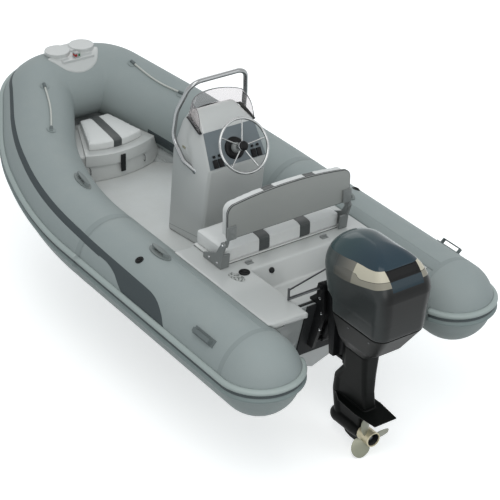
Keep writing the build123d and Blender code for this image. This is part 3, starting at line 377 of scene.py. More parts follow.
plate_blank = finish_of("blank plate", (166, 168, 165), 0.4, mottle=(20.0, 0.1), paint=speckled,
                        bump=(None, 200.0, 0.0002))
rope_white = finish_of("white rope", (186, 188, 182), 0.75, mottle=(30.0, 0.12),
                       bump=(None, 900.0, 0.0006), dust=0.2)
iron = finish_of("engine iron", (70, 72, 74), 0.5, metal=0.7, mottle=(8.0, 0.2))
rod_steel = finish_of("chromed rod", (200, 202, 204), 0.12, metal=1.0, mottle=(9.0, 0.04))


# ===== mesh helpers =====
UP, STARBOARD = Vector((0, 0, 1)), Vector((0, -1, 0))
SIDES = ((-1, "starboard"), (1, "port"))
MERGE = 1e-5    # vertices closer than this are one


def linked(name, data, body):
    """An object in the scene that rides on a body."""
    made = bpy.data.objects.new(name, data)
    bpy.context.scene.collection.objects.link(made)
    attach(made, body)
    return made


def stands_for(obj, node):
    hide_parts(node)
    return obj


def creased(obj, degrees):
    obj.data.set_sharp_from_angle(angle=math.radians(degrees))
    return obj


@contextmanager
def edited(data):
    """A mesh open for editing, written back afterwards."""
    mesh = bmesh.new()
    mesh.from_mesh(data)
    yield mesh
    mesh.to_mesh(data)
    mesh.free()


def faced(obj, inside_out):
    """Reverse an open piece's faces where inside_out(its faces) says so."""
    with edited(obj.data) as mesh:
        mesh.normal_update()
        mesh.faces.ensure_lookup_table()
        if inside_out(mesh.faces):
            bmesh.ops.reverse_faces(mesh, faces=mesh.faces)


def circle(centre, side, other, radius, around):
    """Places round a circle in the plane of two directions."""
    turns = [math.tau * k / around for k in range(around)]
    return [centre + (side * math.cos(a) + other * math.sin(a)) * radius for a in turns]


def piece(name, verts, faces, material, body="root", smooth=True, tints=None, uv=None):
    """A mesh object that rides on a body. tints are the faces' material numbers."""
    mesh = bpy.data.meshes.new(name)
    mesh.from_pydata([tuple(v) for v in verts], [], [tuple(f) for f in faces])
    materials = material if isinstance(material, (list, tuple)) else [material]
    for m in materials:
        mesh.materials.append(m)
    mesh.polygons.foreach_set("use_smooth", [smooth] * len(mesh.polygons))
    if tints:
        mesh.polygons.foreach_set("material_index", tints)
    if uv:
        layer = mesh.uv_layers.new(name="skin")
        for loop in mesh.loops:
            layer.data[loop.index].uv = uv[loop.vertex_index]
    mesh.update()
    return linked(name, mesh, body)


def outward(obj):
    """Merge doubles and turn all faces outwards."""
    with edited(obj.data) as mesh:
        bmesh.ops.remove_doubles(mesh, verts=mesh.verts, dist=MERGE)
        bmesh.ops.recalc_face_normals(mesh, faces=mesh.faces)
    return obj


def copy_of(node, name, material, body="root"):
    """A merged copy of a construction piece, which it then stands for."""
    data = cad[node].data.copy()
    data.name = name
    data.materials.clear()
    data.materials.append(material)
    made = linked(name, data, body)
    with edited(data) as mesh:
        bmesh.ops.remove_doubles(mesh, verts=mesh.verts, dist=2 * MERGE)
        bmesh.ops.dissolve_limit(mesh, angle_limit=math.radians(1.0), verts=mesh.verts,
                                 edges=mesh.edges)
        for face in mesh.faces:
            face.smooth = True
            face.material_index = 0
    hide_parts(node)
    return made


def eased(obj, width, segments=3, angle=32):
    """Round the edges."""
    bevel = obj.modifiers.new("eased edges", "BEVEL")
    bevel.width, bevel.segments = width, segments
    bevel.limit_method, bevel.angle_limit = "ANGLE", math.radians(angle)
    bevel.harden_normals = True
    return obj


def moulded(obj, voxel, rounds):
    """Melt the edges of a closed piece, as a laminate leaves a mould."""
    remesh = obj.modifiers.new("voxels", "REMESH")
    remesh.mode, remesh.voxel_size, remesh.use_smooth_shade = "VOXEL", voxel, True
    soften = obj.modifiers.new("soften", "SMOOTH")
    soften.factor, soften.iterations = 0.5, rounds
    return baked(obj)


def baked(obj):
    """Apply an object's modifiers."""
    depsgraph = bpy.context.evaluated_depsgraph_get()
    result = bpy.data.meshes.new_from_object(obj.evaluated_get(depsgraph), depsgraph=depsgraph)
    obj.modifiers.clear()
    obj.data = result
    return obj


def finish_nodes(material, *names):
    """Give carried-over pieces a finish."""
    for name in names:
        data = cad[name].data
        data.materials.clear()
        data.materials.append(material)


def lathe(profile, centre, axis, name, material, body="root", around=32, tints=None):
    """Turn a profile of (radius, height) about an axis through centre."""
    axis = Vector(axis).normalized()
    side = axis.orthogonal().normalized()
    other = axis.cross(side)
    tints = tints or [0] * (len(profile) - 1)
    verts = [p for radius, height in profile
             for p in circle(Vector(centre) + axis * height, side, other, radius, around)]
    faces = rings_to_faces(len(profile), around)
    colours = [tint for tint in tints for _ in range(around)]
    for ring in (0, len(profile) - 1):
        if profile[ring][0] > 1e-6:
            cap = ring_face(ring, around)
            faces.append(cap[::-1] if ring == 0 else cap)
            colours.append(tints[0] if ring == 0 else tints[-1])
    return outward(piece(name, verts, faces, material, body, tints=colours))


def ring_face(ring, around, first=0):
    """The face that closes one ring."""
    return tuple(first + ring * around + k for k in range(around))


def rings_to_faces(rings, around, closed=True, first=0, wrapped=False):
    """Quads between successive rings of the same count; wrapped joins the last to the first."""
    faces = []
    for ring in range(rings if wrapped else rings - 1):
        here, there = first + ring * around, first + (ring + 1) % rings * around
        for k in range(around if closed else around - 1):
            after = (k + 1) % around
            faces.append((here + k, here + after, there + after, there + k))
    return faces


def grid_faces(rows, columns):
    """Quads between the rows of an open sheet."""
    starts = [row * columns + k for row in range(rows - 1) for k in range(columns - 1)]
    return [(a, a + columns, a + columns + 1, a + 1) for a in starts]


def capped(rings, around):
    """A run of rings closed at both ends."""
    return rings_to_faces(rings, around) + [ring_face(0, around), ring_face(rings - 1, around)]


# ===== tubes =====
TUBE_CORNERS = [(2.0, 0.682, 0.0, 2.666), (2.62, 0.535, 0.097, 1.333), (3.13, 0.25, 0.288, 0.206)]


def rounded_line(points, bends, step):
    """Places and directions along straight runs joined by arcs."""
    places = [points[0]]
    for corner, bend, before, after in zip(points[1:-1], bends, points, points[2:]):
        come, go = (corner - before).normalized(), (after - corner).normalized()
        turn = come.angle(go)
        reach = bend * math.tan(turn / 2)
        inward = (go - come * come.dot(go)).normalized()
        centre = corner - come * reach + inward * bend
        count = max(4, int(bend * turn / step))
        for k in range(count + 1):
            a = turn * k / count
            places.append(centre - inward * bend * math.cos(a) + come * bend * math.sin(a))
    places.append(points[-1])
    full = [places[0]]
    for a, b in zip(places, places[1:]):
        count = max(1, int((b - a).length / step))
        full += [a.lerp(b, (k + 1) / count) for k in range(count)]
    full = [p for k, p in enumerate(full) if k == 0 or (p - full[k - 1]).length > 1e-6]
    aims = []
    for k in range(len(full)):
        before, after = full[max(k - 1, 0)], full[min(k + 1, len(full) - 1)]
        aims.append((after - before).normalized())
    return full, aims


def bow_axis():
    port = [at(x, y, z) for x, y, z, bend in TUBE_CORNERS]
    bends = [bend for x, y, z, bend in TUBE_CORNERS]
    start = at(CHAMBER_RUN, TUBE_Y, 0)
    flip = [Vector((p.x, -p.y, p.z)) for p in reversed([start] + port)]
    return rounded_line([start] + port + flip, bends + bends[::-1], 0.018)


BOW, BOW_AIM = bow_axis()
BOW_AIM[0], BOW_AIM[-1] = Vector((1, 0, 0)), Vector((-1, 0, 0))
BOW_RUN = [CHAMBER_RUN]
for k in range(1, len(BOW)):
    BOW_RUN.append(BOW_RUN[-1] + (BOW[k] - BOW[k - 1]).length)


def axis_at(run):
    """The tube's axis and its direction at a distance from the port stern end."""
    if run <= CHAMBER_RUN:
        return at(run, TUBE_Y, 0), Vector((1, 0, 0))
    k = int(np.searchsorted(BOW_RUN, run)) - 1
    k = min(max(k, 0), len(BOW) - 2)
    share = (run - BOW_RUN[k]) / (BOW_RUN[k + 1] - BOW_RUN[k])
    return BOW[k].lerp(BOW[k + 1], share), BOW_AIM[k].lerp(BOW_AIM[k + 1], share).normalized()


def skin(run, angle, height=0.0):
    """A place on the port tube: angle in degrees up from outboard, height off the skin."""
    centre, aim = axis_at(run)
    outboard = UP.cross(aim).normalized()
    a = math.radians(angle)
    normal = outboard * math.cos(a) + aim.cross(outboard) * math.sin(a)
    return centre + normal * (TUBE_R + height), normal


def to_starboard(obj, name, body="root"):
    """The same piece mirrored, as its own object."""
    data = obj.data.copy()
    data.transform(Matrix.Scale(-1, 4, (0, 1, 0)))
    data.flip_normals()
    return linked(name, data, body)


AROUND = 96
# The map's second coordinate: metres round the skin from the outboard line, up to the inboard one
GIRTH = [min(k, AROUND - k) / AROUND * math.tau * TUBE_R for k in range(AROUND)]


def side_tube():
    """The port chamber: straight, with a round stern end."""
    verts, uv = [], []
    stations = [(CAP_X - TUBE_R * math.sin(a), TUBE_R * math.cos(a))
                for a in [math.pi / 2 * (1 - k / 24) for k in range(1, 24)]]
    stations += [(CAP_X + (CHAMBER_RUN - CAP_X) * k / 30, TUBE_R) for k in range(31)]
    verts.append(at(CAP_X - TUBE_R, TUBE_Y, 0))
    uv.append((CAP_X - TUBE_R, 0))
    for x, radius in stations:
        verts += circle(at(x, TUBE_Y, 0), -STARBOARD, UP, radius, AROUND)
        uv += [(x, girth) for girth in GIRTH]
    faces = [(0, 1 + k, 1 + (k + 1) % AROUND) for k in range(AROUND)]
    faces += rings_to_faces(len(stations), AROUND, first=1)
    faces.append(ring_face(len(stations) - 1, AROUND, first=1))
    made = outward(piece("tube_port_skin", verts, faces, tube_fabric, uv=uv))
    stands_for(made, "tube_port")
    stands_for(to_starboard(made, "tube_starboard_skin"), "tube_starboard")


def bow_tube():
    verts, uv = [], []
    for place, aim, run in zip(BOW, BOW_AIM, BOW_RUN):
        outboard = UP.cross(aim).normalized()
        verts += circle(place, outboard, aim.cross(outboard), TUBE_R, AROUND)
        uv += [(run, girth) for girth in GIRTH]
    made = outward(piece("tube_bow_skin", verts, capped(len(BOW), AROUND), tube_fabric, uv=uv))
    stands_for(made, "tube_bow")


side_tube()
bow_tube()
BOW_LENGTH = BOW_RUN[-1] - CHAMBER_RUN


def applique(name, edge, material, runs, height=0.0009, across=10, mirrored=True):
    """A fabric patch on the tube. edge(run) gives its lower and upper angle in degrees."""
    verts, uv = [], []
    columns = across + 3
    for run in runs:
        low, high = edge(run)
        for k in range(columns):
            share = min(max(k - 1, 0), across) / across
            off = -0.0006 if k in (0, columns - 1) else height
            angle = low + (high - low) * share
            verts.append(skin(run, angle, off)[0])
            uv.append((run, math.radians(angle) * TUBE_R))
    made = piece(name, verts, grid_faces(len(runs), columns), material, uv=uv)
    centre = axis_at(runs[len(runs) // 2])[0]

    def inside_out(all_faces):
        middle = all_faces[len(all_faces) // 2]
        return middle.normal.dot(middle.calc_center_median() - centre) < 0

    faced(made, inside_out)
    if mirrored:
        to_starboard(made, name + "_starboard")
    return made


def along(points, value):
    """Smooth interpolation between (place, value) pairs."""
    xs = [p[0] for p in points]
    value = min(max(value, xs[0]), xs[-1])
    k = min(int(np.searchsorted(xs, value, side="right")) - 1, len(xs) - 2)
    span = xs[k + 1] - xs[k]

    def slope(n):
        if n in (0, len(xs) - 1):
            m = 0 if n == 0 else len(xs) - 2
            return (points[m + 1][1] - points[m][1]) / (xs[m + 1] - xs[m])
        return (points[n + 1][1] - points[n - 1][1]) / (xs[n + 1] - xs[n - 1])

    t = (value - xs[k]) / span
    return ((2 * t ** 3 - 3 * t ** 2 + 1) * points[k][1] + (t ** 3 - 2 * t ** 2 + t) * span
            * slope(k) + (3 * t ** 2 - 2 * t ** 3) * points[k + 1][1]
            + (t ** 3 - t ** 2) * span * slope(k + 1))


def spread(start, end, count):
    return [start + (end - start) * k / (count - 1) for k in range(count)]


# The edges of the dark appliques: run along the tube, angle in degrees
BAND_MIDDLE = [(0.9, 36.6), (1.367, 38.8), (1.747, 42.6), (2.24, 44.5), (2.70, 46.6),
               (3.126, 43.8), (3.45, 40.0), (3.75, 38.0)]
BAND_HALF = [(0.9, 6.0), (1.4, 5.3), (2.2, 4.9), (2.8, 4.1), (3.3, 3.4), (3.75, 2.6)]
PANEL_LOW = [(0.557, 9.2), (0.754, 7.8), (0.945, 10.4), (1.016, 13.4), (1.056, 19.0), (1.116, 27.6),
             (1.207, 33.2), (1.30, 34.0)]
PANEL_HIGH = [(0.557, 9.6), (0.575, 15.0), (0.603, 23.6), (0.664, 33.5), (0.714, 38.3),
              (0.774, 41.0), (0.905, 41.9), (1.217, 43.2), (1.30, 43.6)]


def stripe_edge(run):
    middle, half = along(BAND_MIDDLE, run), along(BAND_HALF, run)
    return middle - half, middle + half


def panel_edge(run):
    low, high = along(PANEL_LOW, run), along(PANEL_HIGH, run)
    return low, max(high, low + 0.3)


applique("stripe_bow", stripe_edge, stripe_fabric, spread(1.30, 3.72, 110), across=6)
applique("panel", panel_edge, stripe_fabric,
         spread(0.557, 0.62, 14)[:-1] + spread(0.62, 1.30, 60), across=24)


def tape_ring(name, run, width, low=0, high=360):
    """A strip of seam tape round the tube."""
    runs = [run + width * (k / 2 - 0.5) for k in range(3)]
    applique(name, lambda _: (low, high), seam_tape, runs, height=0.0005,
             across=int((high - low) / 4))


tape_ring("seam_tape_chamber", 1.5, 0.05, -100, 175)
tape_ring("seam_tape_stern", 0.02, 0.035, 8, 172)

# ===== rub strake =====
SEAT = TUBE_R + 0.0003
STRAKE_Z, STRAKE_HALF = 0.007, 0.042
RIDGE_OFF, RIDGE_OUT, RIDGE_UP = 0.0245, 0.0195, 0.0155    # off the middle, and each ridge's radii


def seat_at(up):
    """How far out the tube's skin is at a height."""
    return math.sqrt(SEAT ** 2 - up ** 2)


def strake_section():
    """Half-round ridges with a groove between them, as (out, up), with face finishes: the upper
    ridge painted lighter as lit from above, the lower ridge painted darker as in shade.
    """
    low, high = STRAKE_Z - STRAKE_HALF, STRAKE_Z + STRAKE_HALF
    points, tints = [], []

    def add(out, up, tint):
        points.append((out, up))
        tints.append(tint)

    def ridge(middle, tint):
        for k in range(9):
            a = math.pi * (0.12 + 0.76 * k / 8)
            add(SEAT + 0.004 + RIDGE_OUT * math.sin(a), middle + RIDGE_UP * math.cos(a), tint)

    add(seat_at(high), high, 0)
    add(seat_at(high) + 0.006, high + 0.0005, 0)
    ridge(STRAKE_Z + RIDGE_OFF, 0)
    add(SEAT + 0.0105, STRAKE_Z + 0.0075, 1)
    add(SEAT + 0.0095, STRAKE_Z, 1)
    add(SEAT + 0.0105, STRAKE_Z - 0.0075, 1)
    ridge(STRAKE_Z - RIDGE_OFF, 2)
    add(seat_at(low) + 0.006, low - 0.0005, 2)
    add(seat_at(low), low, 2)
    for k in range(1, 6):
        up = low + (high - low) * k / 6
        add(seat_at(up), up, 2)
    return points, tints


def sweep_strake(name, rings, node):
    """rings are (centre, outward, up) along the strake."""
    points, colours = strake_section()
    count = len(points)
    verts = [c + out * u + up * v for c, out, up in rings for u, v in points]
    faces = rings_to_faces(len(rings), count)
    tints = colours * (len(rings) - 1)
    faces += [ring_face(0, count)[::-1], ring_face(len(rings) - 1, count)]
    tints += [0, 0]
    made = outward(piece(name, verts, faces, [strake_ridge_painted_lit, strake_dark, strake_ridge_painted_shade],
                         tints=tints))
    return stands_for(made, node)


def side_strake():
    rings = []
    for k in range(46):
        a = math.radians(165 * (1 - k / 45))
        rings.append((at(CAP_X, TUBE_Y, 0), Vector((-math.sin(a), math.cos(a), 0)), UP))
    for k in range(1, 25):
        rings.append((at(CAP_X + (CHAMBER_RUN - CAP_X) * k / 24, TUBE_Y, 0), -STARBOARD, UP))
    made = sweep_strake("rub_strake_port_rubber", rings, "rub_strake_port")
    stands_for(to_starboard(made, "rub_strake_starboard_rubber"), "rub_strake_starboard")


def bow_strake():
    """Its section keeps its own turn along the bend, as an extruded rubber does."""
    rings, out = [], -STARBOARD
    for place, aim in zip(BOW, BOW_AIM):
        out = (out - aim * out.dot(aim)).normalized()
        rings.append((place, out, aim.cross(out)))
    sweep_strake("rub_strake_bow_rubber", rings, "rub_strake_bow")


side_strake()
bow_strake()

# ===== V hull =====
RAKE = math.tan(math.radians(14))
TRANSOM_T = 0.0455
# x, keel z, chine y, chine z, side y, side z
HULL_LINES = [
    (0.10, -0.446, 0.500, -0.205, 0.560, -0.150),
    (1.80, -0.446, 0.500, -0.205, 0.560, -0.150),
    (2.30, -0.400, 0.425, -0.155, 0.495, -0.100),
    (2.70, -0.270, 0.300, -0.075, 0.370, -0.020),
    (3.12, 0.055, 0.060, 0.075, 0.110, 0.110),
]


def transom_x(z):
    return 0.270 - RAKE * z


def hull_shell():
    """The bottom and sides in one moulding, with spray rails, its edges up inside the tubes."""
    def value(n, x):
        return along([(row[0], row[n]) for row in HULL_LINES], x)

    stations = [None] + spread(0.45, 1.8, 22) + spread(1.84, 3.12, 60)
    columns = [0, 0.02, 0.05, 0.2, 0.33, 0.35, 0.365, 0.37, 0.5, 0.63, 0.65, 0.665, 0.67, 0.8,
               0.93, 0.965, 0.985, 1.0]
    rings = []
    for x in stations:
        keel, chine_y, chine_z, side_y, side_z = (value(n, x or 0.45) for n in range(1, 6))
        fade = min(1.0, max(0.0, (3.02 - (x or 0.45)) / 0.5))
        half = []
        for share in columns:
            y = chine_y * share
            z = keel + (chine_z - keel) * share - 0.012 * math.sin(math.pi * share)
            if share <= 0.02:
                z += 0.004
            if share in (0.35, 0.365, 0.65, 0.665):
                z -= 0.013 * fade
            if share in (0.965, 0.985):
                z -= 0.010 * fade
            half.append((y, z))
        half.append((chine_y + 0.006, chine_z + 0.014))
        half += [(chine_y + (side_y - chine_y) * k / 4, chine_z + 0.016
                  + (side_z - chine_z - 0.016) * k / 4) for k in range(1, 5)]
        rings.append([at(transom_x(z) + TRANSOM_T if x is None else x, y, z)
                      for y, z in [(-y, z) for y, z in reversed(half[1:])] + half])
    around = len(rings[0])
    made = piece("hull_skin", [p for ring in rings for p in ring],
                 rings_to_faces(len(rings), around, closed=False), hull_gelcoat)
    faced(made, lambda all_faces: sum(f.normal.z for f in all_faces) < 0)
    laminate = made.modifiers.new("laminate", "SOLIDIFY")
    laminate.thickness, laminate.offset = 0.009, 1.0
    baked(made).data.shade_smooth()
    stands_for(creased(made, 24), "hull")


hull_shell()


def pipe(name, points, bends, radius, material, body="root", step=0.012, around=20):
    """A bent round bar."""
    path, aims = rounded_line([Vector(p) for p in points], bends, step)
    side = aims[0].orthogonal().normalized()
    verts = []
    for place, aim in zip(path, aims):
        side = (side - aim * side.dot(aim)).normalized()
        verts += circle(place, side, aim.cross(side), radius, around)
    return outward(piece(name, verts, capped(len(path), around), material, body))


# Black gasket over the transom's top edge
pipe("transom_gasket", [at(transom_x(0.095) + 0.0225, -0.298, 0.0925),
                        at(transom_x(0.095) + 0.0225, 0.298, 0.0925)], [], 0.011, black_rubber)

# ===== deck mouldings =====
finish_nodes(sole_finish, "cockpit_sole")


def step_apron():
    """The step's rounded tongue, laid down the bow tube's inner side."""
    middle, reach, rise, columns = CHAMBER_RUN + BOW_LENGTH / 2, 0.176, 0.009, 24
    verts, rows = [], 48
    for n in range(rows + 1):
        off = reach * 0.999 * math.sin(math.pi * (n / rows - 0.5))
        wide = math.sqrt(1 - (off / reach) ** 2)
        for k in range(columns + 1):
            share = k / columns
            edge = max(0.0, 1 - (share ** 8 + (off / reach) ** 8)) ** 0.25
            verts.append(skin(middle + off, 97 + 43 * wide * share, rise * edge - 0.0008)[0])
    faces = rings_to_faces(rows + 1, columns + 1, closed=False)
    apron = outward(piece("step_apron", verts, faces, gelcoat))
    if sum(f.normal.z for f in apron.data.polygons) < 0:
        apron.data.flip_normals()


step_apron()


def locker_rings():
    """Two lashing staples low on the locker's front."""
    front = bpy.data.objects["locker_moulding"]
    for tag, y, z in (("port", 0.221, 0.151), ("starboard", -0.188, 0.145)):
        place = front.ray_cast(Vector((0.2, y, z)), Vector((1, 0, 0)))[1]
        half, out = UP * 0.021, Vector((-0.016, 0, 0))
        pipe("lashing_staple_" + tag, [place + half, place + half + out, place - half + out,
                                       place - half], [0.008, 0.008], 0.0035, bracket_grey,
             step=0.006, around=10)


# Grey tape where the deck's flanges are bonded to the tubes
applique("flange_tape_aft", lambda run: (104, 121.5), seam_tape, spread(0.03, 1.04, 30),
         height=0.0011, across=6)
MID_LOW = [(1.0, 172), (1.6, 174), (2.3, 184), (2.72, 188)]
MID_HIGH = [(1.0, 190), (1.6, 196), (2.3, 206), (2.72, 211)]
applique("flange_tape_mid", lambda run: (along(MID_LOW, run), along(MID_HIGH, run)), stripe_fabric,
         spread(1.0, 2.72, 42), height=0.0011, across=10)


# ===== console =====
def console_joint_shadow(w, place):
    """Faint waviness of the gelcoat, and a painted shadow line along the joint between the console
    and the foot moulded on the sole.
    """
    x, _, z = w.split(place)
    rise = w.math("MULTIPLY_ADD", x, 0.162, z)
    # The dark band is painted shade, standing for the shadow in the joint
    return marbled(w, place) + [(band_mask(w, rise, 0.2235, 0.0016), (104, 108, 107))]


console = eased(copy_of("console", "console_moulding",
                        gelcoat_of("gelcoat, console", console_joint_shadow)), 0.017, 5)


def console_socket():
    """A small beige socket beside the rail's foot."""
    place = console.ray_cast(at(1.443, 0.6, 0.589), STARBOARD)[1]
    low, high = place - Vector((0.016, 0.003, 0.007)), place + Vector((0.016, 0.004, 0.007))
    corners = [(x, y, z) for x in (low.x, high.x) for y in (low.y, high.y)
               for z in (low.z, high.z)]
    faces = [(0, 1, 3, 2), (4, 6, 7, 5), (0, 4, 5, 1), (2, 3, 7, 6), (0, 2, 6, 4), (1, 5, 7, 3)]
    eased(outward(piece("console_socket", corners, faces, beige_plastic, smooth=False)), 0.002)


beige_plastic = finish_of("beige plastic", (140, 138, 118), 0.45, mottle=(9.0, 0.08))
console_socket()

DASH_LOW = at(1.166, 0, 0.545)
DASH_UP = Vector((0.114, 0, 0.200)).normalized()
DASH_OUT = Vector((-DASH_UP.z, 0, DASH_UP.x))
SHAFT_UP = 0.095    # the wheel shaft, up the dash from its foot


def on_dash(across, up, height):
    """A place on the dash: to starboard, up its slope and off its face."""
    return DASH_LOW + STARBOARD * across + DASH_UP * up + DASH_OUT * height


WHEEL_R, WHEEL_TUBE_R, SPOKES, FIRST_SPOKE = 0.162, 0.008, 5, 77    # metres, and degrees
wheel_steel = finish_of("wheel steel", (166, 168, 168), 0.2, metal=1.0, mottle=(9.0, 0.04))


def helm():
    """Bezel behind the wheel, the wheel's rim and spokes, its grey boss and black hub cap."""
    bezel = lathe([(0.067, 0.0), (0.067, 0.004), (0.062, 0.011), (0.048, 0.0155), (0.026, 0.016),
                   (0.0165, 0.014), (0.0165, 0.002)], on_dash(0, SHAFT_UP, 0.005), DASH_OUT,
                  "helm_bezel_moulding", black_plastic, around=48)
    stands_for(bezel, "helm_bezel")
    centre = on_dash(0, SHAFT_UP, 0.115)

    def outwards(a):
        return STARBOARD * math.cos(a) + DASH_UP * math.sin(a)

    verts, ring, tube = [], 96, 14
    for k in range(ring):
        out = outwards(math.tau * k / ring)
        verts += circle(centre + out * WHEEL_R, out, DASH_OUT, WHEEL_TUBE_R, tube)
    rim = outward(piece("wheel_rim", verts, rings_to_faces(ring, tube, wrapped=True), wheel_steel,
                        "helm_wheel"))
    stands_for(rim, "steering_wheel")
    for k in range(SPOKES):
        out = outwards(math.radians(FIRST_SPOKE + 360 / SPOKES * k))
        root = centre + out * 0.016 - DASH_OUT * 0.021
        bend = centre + out * 0.052 - DASH_OUT * 0.017
        pipe(f"wheel_spoke_{k + 1}", [root, bend, centre + out * 0.160], [0.06], 0.0042,
             wheel_steel, "helm_wheel", around=12)
    lathe([(0.033, -0.104), (0.031, -0.088), (0.026, -0.072), (0.0112, -0.070)], centre, DASH_OUT,
          "wheel_shaft_cover", bracket_grey, "helm_wheel")
    lathe([(0.011, -0.098), (0.011, -0.034), (0.020, -0.032), (0.027, -0.026), (0.027, -0.014),
           (0.024, -0.010)], centre, DASH_OUT, "wheel_boss", stainless, "helm_wheel")
    lathe([(0.027, -0.0095), (0.029, -0.006), (0.029, 0.001), (0.025, 0.0055), (0.014, 0.0085),
           (0.0, 0.0095)], centre, DASH_OUT, "wheel_hub_cap", black_plastic, "helm_wheel",
          around=40)


helm()


acrylic = finish_of("smoked acrylic", (231, 227, 228), 0.03, mottle=(2.0, 0.01),
                    Transmission_Weight=0.92, IOR=1.12)
acrylic_edge = finish_of("acrylic edge", (96, 94, 96), 0.2, mottle=(8.0, 0.05))


SCREEN_AFT, SCREEN_BOW = 1.292, 0.085    # its aft edge, and how far its front bulges


def screen_taper(z):
    return (z - 0.640) / 0.265


def screen_half(z):
    return 0.212 - 0.034 * screen_taper(z)


def windscreen():
    """Wrapped round the hood, its top edge swept down to the aft corners."""
    top = [(1.292, 0.752), (1.298, 0.800), (1.315, 0.840), (1.345, 0.868), (1.385, 0.886),
           (1.44, 0.897), (1.53, 0.902)]
    foot = [(1.292, 0.737), (1.36, 0.765), (1.43, 0.787), (1.54, 0.793)]

    def plan(share, z):
        """A place on the screen's outer face: share from -1 to 1 round the U."""
        front, half = 1.530 - 0.052 * screen_taper(z), screen_half(z)
        side = front - SCREEN_BOW - SCREEN_AFT
        radius = (SCREEN_BOW ** 2 + half ** 2) / (2 * SCREEN_BOW)
        sweep = math.asin(half / radius)
        arc = 2 * radius * sweep
        total = 2 * side + arc
        s = (share + 1) / 2 * total
        if s < side:
            return Vector((SCREEN_AFT + s, half, z))
        if s > side + arc:
            return Vector((SCREEN_AFT + total - s, -half, z))
        a = sweep - (s - side) / radius
        return Vector((front - radius + radius * math.cos(a), radius * math.sin(a), z))

    columns, rows = 90, 14
    verts = []
    for k in range(columns + 1):
        share = -1 + 2 * k / columns
        low = plan(share, 0.737)
        base, high = along(foot, low.x), along(top, low.x)
        for n in range(rows + 1):
            verts.append(at(*plan(share, base + (high - base) * n / rows)))
    made = piece("windscreen_sheet", verts, grid_faces(columns + 1, rows + 1),
                 [acrylic, acrylic_edge])
    faced(made, lambda all_faces: sum(
        f.normal.dot(f.calc_center_median() - at(1.40, 0, 0.8)) for f in all_faces) < 0)
    sheet = made.modifiers.new("sheet", "SOLIDIFY")
    sheet.thickness, sheet.offset, sheet.material_offset_rim = 0.004, -1.0, 1
    stands_for(baked(made), "windscreen")
    # Black rubber along its foot, thick at the aft corners
    for side, tag in SIDES:
        verts, count, around = [], 16, 12
        for k in range(count + 1):
            x = 1.284 + 0.146 * k / count
            thick = 0.017 * math.sin(math.pi * min(1.0, k / count + 0.06)) + 0.004
            z = along(foot, x) + 0.003
            verts += circle(at(x, side * (screen_half(z) - 0.011), z),
                            Vector((0, side * 0.0135, 0)), UP * thick * 0.62, 1, around)
        outward(piece("screen_foot_" + tag, verts, capped(count + 1, around), black_rubber))
    path = [plan(-0.64 + 1.28 * k / 40, 0.799) for k in range(41)]
    pipe("screen_bead", [at(p.x, p.y * 0.985, along(foot, p.x)) for p in path],
         [0.02] * (len(path) - 2), 0.005, black_rubber, around=10)


windscreen()


# The hoop's stainless is painted darker than the flanges' for the shade it shows
rail_steel_painted_shade = finish_of("rail steel, darkened for shade", (150, 152, 153), 0.14, metal=1.0, mottle=(9.0, 0.04))


def grab_rail():
    """The stainless hoop, its steel painted darker for the shade on it, with a flange under each
    foot.
    """
    port = [(1.326, 0.192, 0.476), (1.390, 0.236, 0.530), (1.482, 0.252, 0.650),
            (1.455, 0.245, 0.830), (1.380, 0.190, 1.026)]
    points = [at(*p) for p in port] + [at(x, -y, z) for x, y, z in reversed(port)]
    bends = [0.070, 0.110, 0.260, 0.085, 0.085, 0.260, 0.110, 0.070]
    stands_for(pipe("rail_hoop", points, bends, 0.014, rail_steel_painted_shade, around=28), "grab_rail")
    for side, tag in SIDES:
        lathe([(0.0, -0.004), (0.026, -0.003), (0.026, 0.0025), (0.021, 0.006), (0.0142, 0.007)],
              at(1.333, side * 0.199, 0.482), (0.05, side, 0.06), "rail_flange_" + tag, stainless)


grab_rail()

# ===== repeated small things =====
def scatter_tree(name, build, numbers):
    """Geometry nodes that stand one small shape on each point, turned to its aim and lay."""
    tree = bpy.data.node_groups.new(name, "GeometryNodeTree")
    face = tree.interface
    face.new_socket("Geometry", in_out="INPUT", socket_type="NodeSocketGeometry")
    for title, value in numbers:
        face.new_socket(title, in_out="INPUT", socket_type="NodeSocketFloat").default_value = value
    face.new_socket("Material", in_out="INPUT", socket_type="NodeSocketMaterial")
    face.new_socket("Dark material", in_out="INPUT", socket_type="NodeSocketMaterial")
    face.new_socket("Geometry", in_out="OUTPUT", socket_type="NodeSocketGeometry")
    w = Wiring(tree)
    source, sink = w.node("NodeGroupInput"), w.node("NodeGroupOutput")
    shape = build(w, source.outputs)
    points = w.node("GeometryNodeMeshToPoints", {"Mesh": source.outputs["Geometry"]})
    turned = None
    for attribute, axis in (("aim", "Z"), ("lay", "X")):
        read = w.node("GeometryNodeInputNamedAttribute", data_type="FLOAT_VECTOR")
        read.inputs["Name"].default_value = attribute
        align = w.node("FunctionNodeAlignRotationToVector", axis=axis)
        if axis == "X":
            align.pivot_axis = "Z"
            tree.links.new(turned, align.inputs["Rotation"])
        tree.links.new(read.outputs["Attribute"], align.inputs["Vector"])
        turned = align.outputs[0]
    stood = w.node("GeometryNodeInstanceOnPoints", {"Points": points.outputs[0],
                                                    "Instance": shape, "Rotation": turned})
    real = w.node("GeometryNodeRealizeInstances", {"Geometry": stood.outputs[0]})
    tree.links.new(real.outputs[0], sink.inputs[0])
    return tree


def coloured(w, geometry, material):
    return w.node("GeometryNodeSetMaterial", {"Geometry": geometry,
                                              "Material": material}).outputs[0]


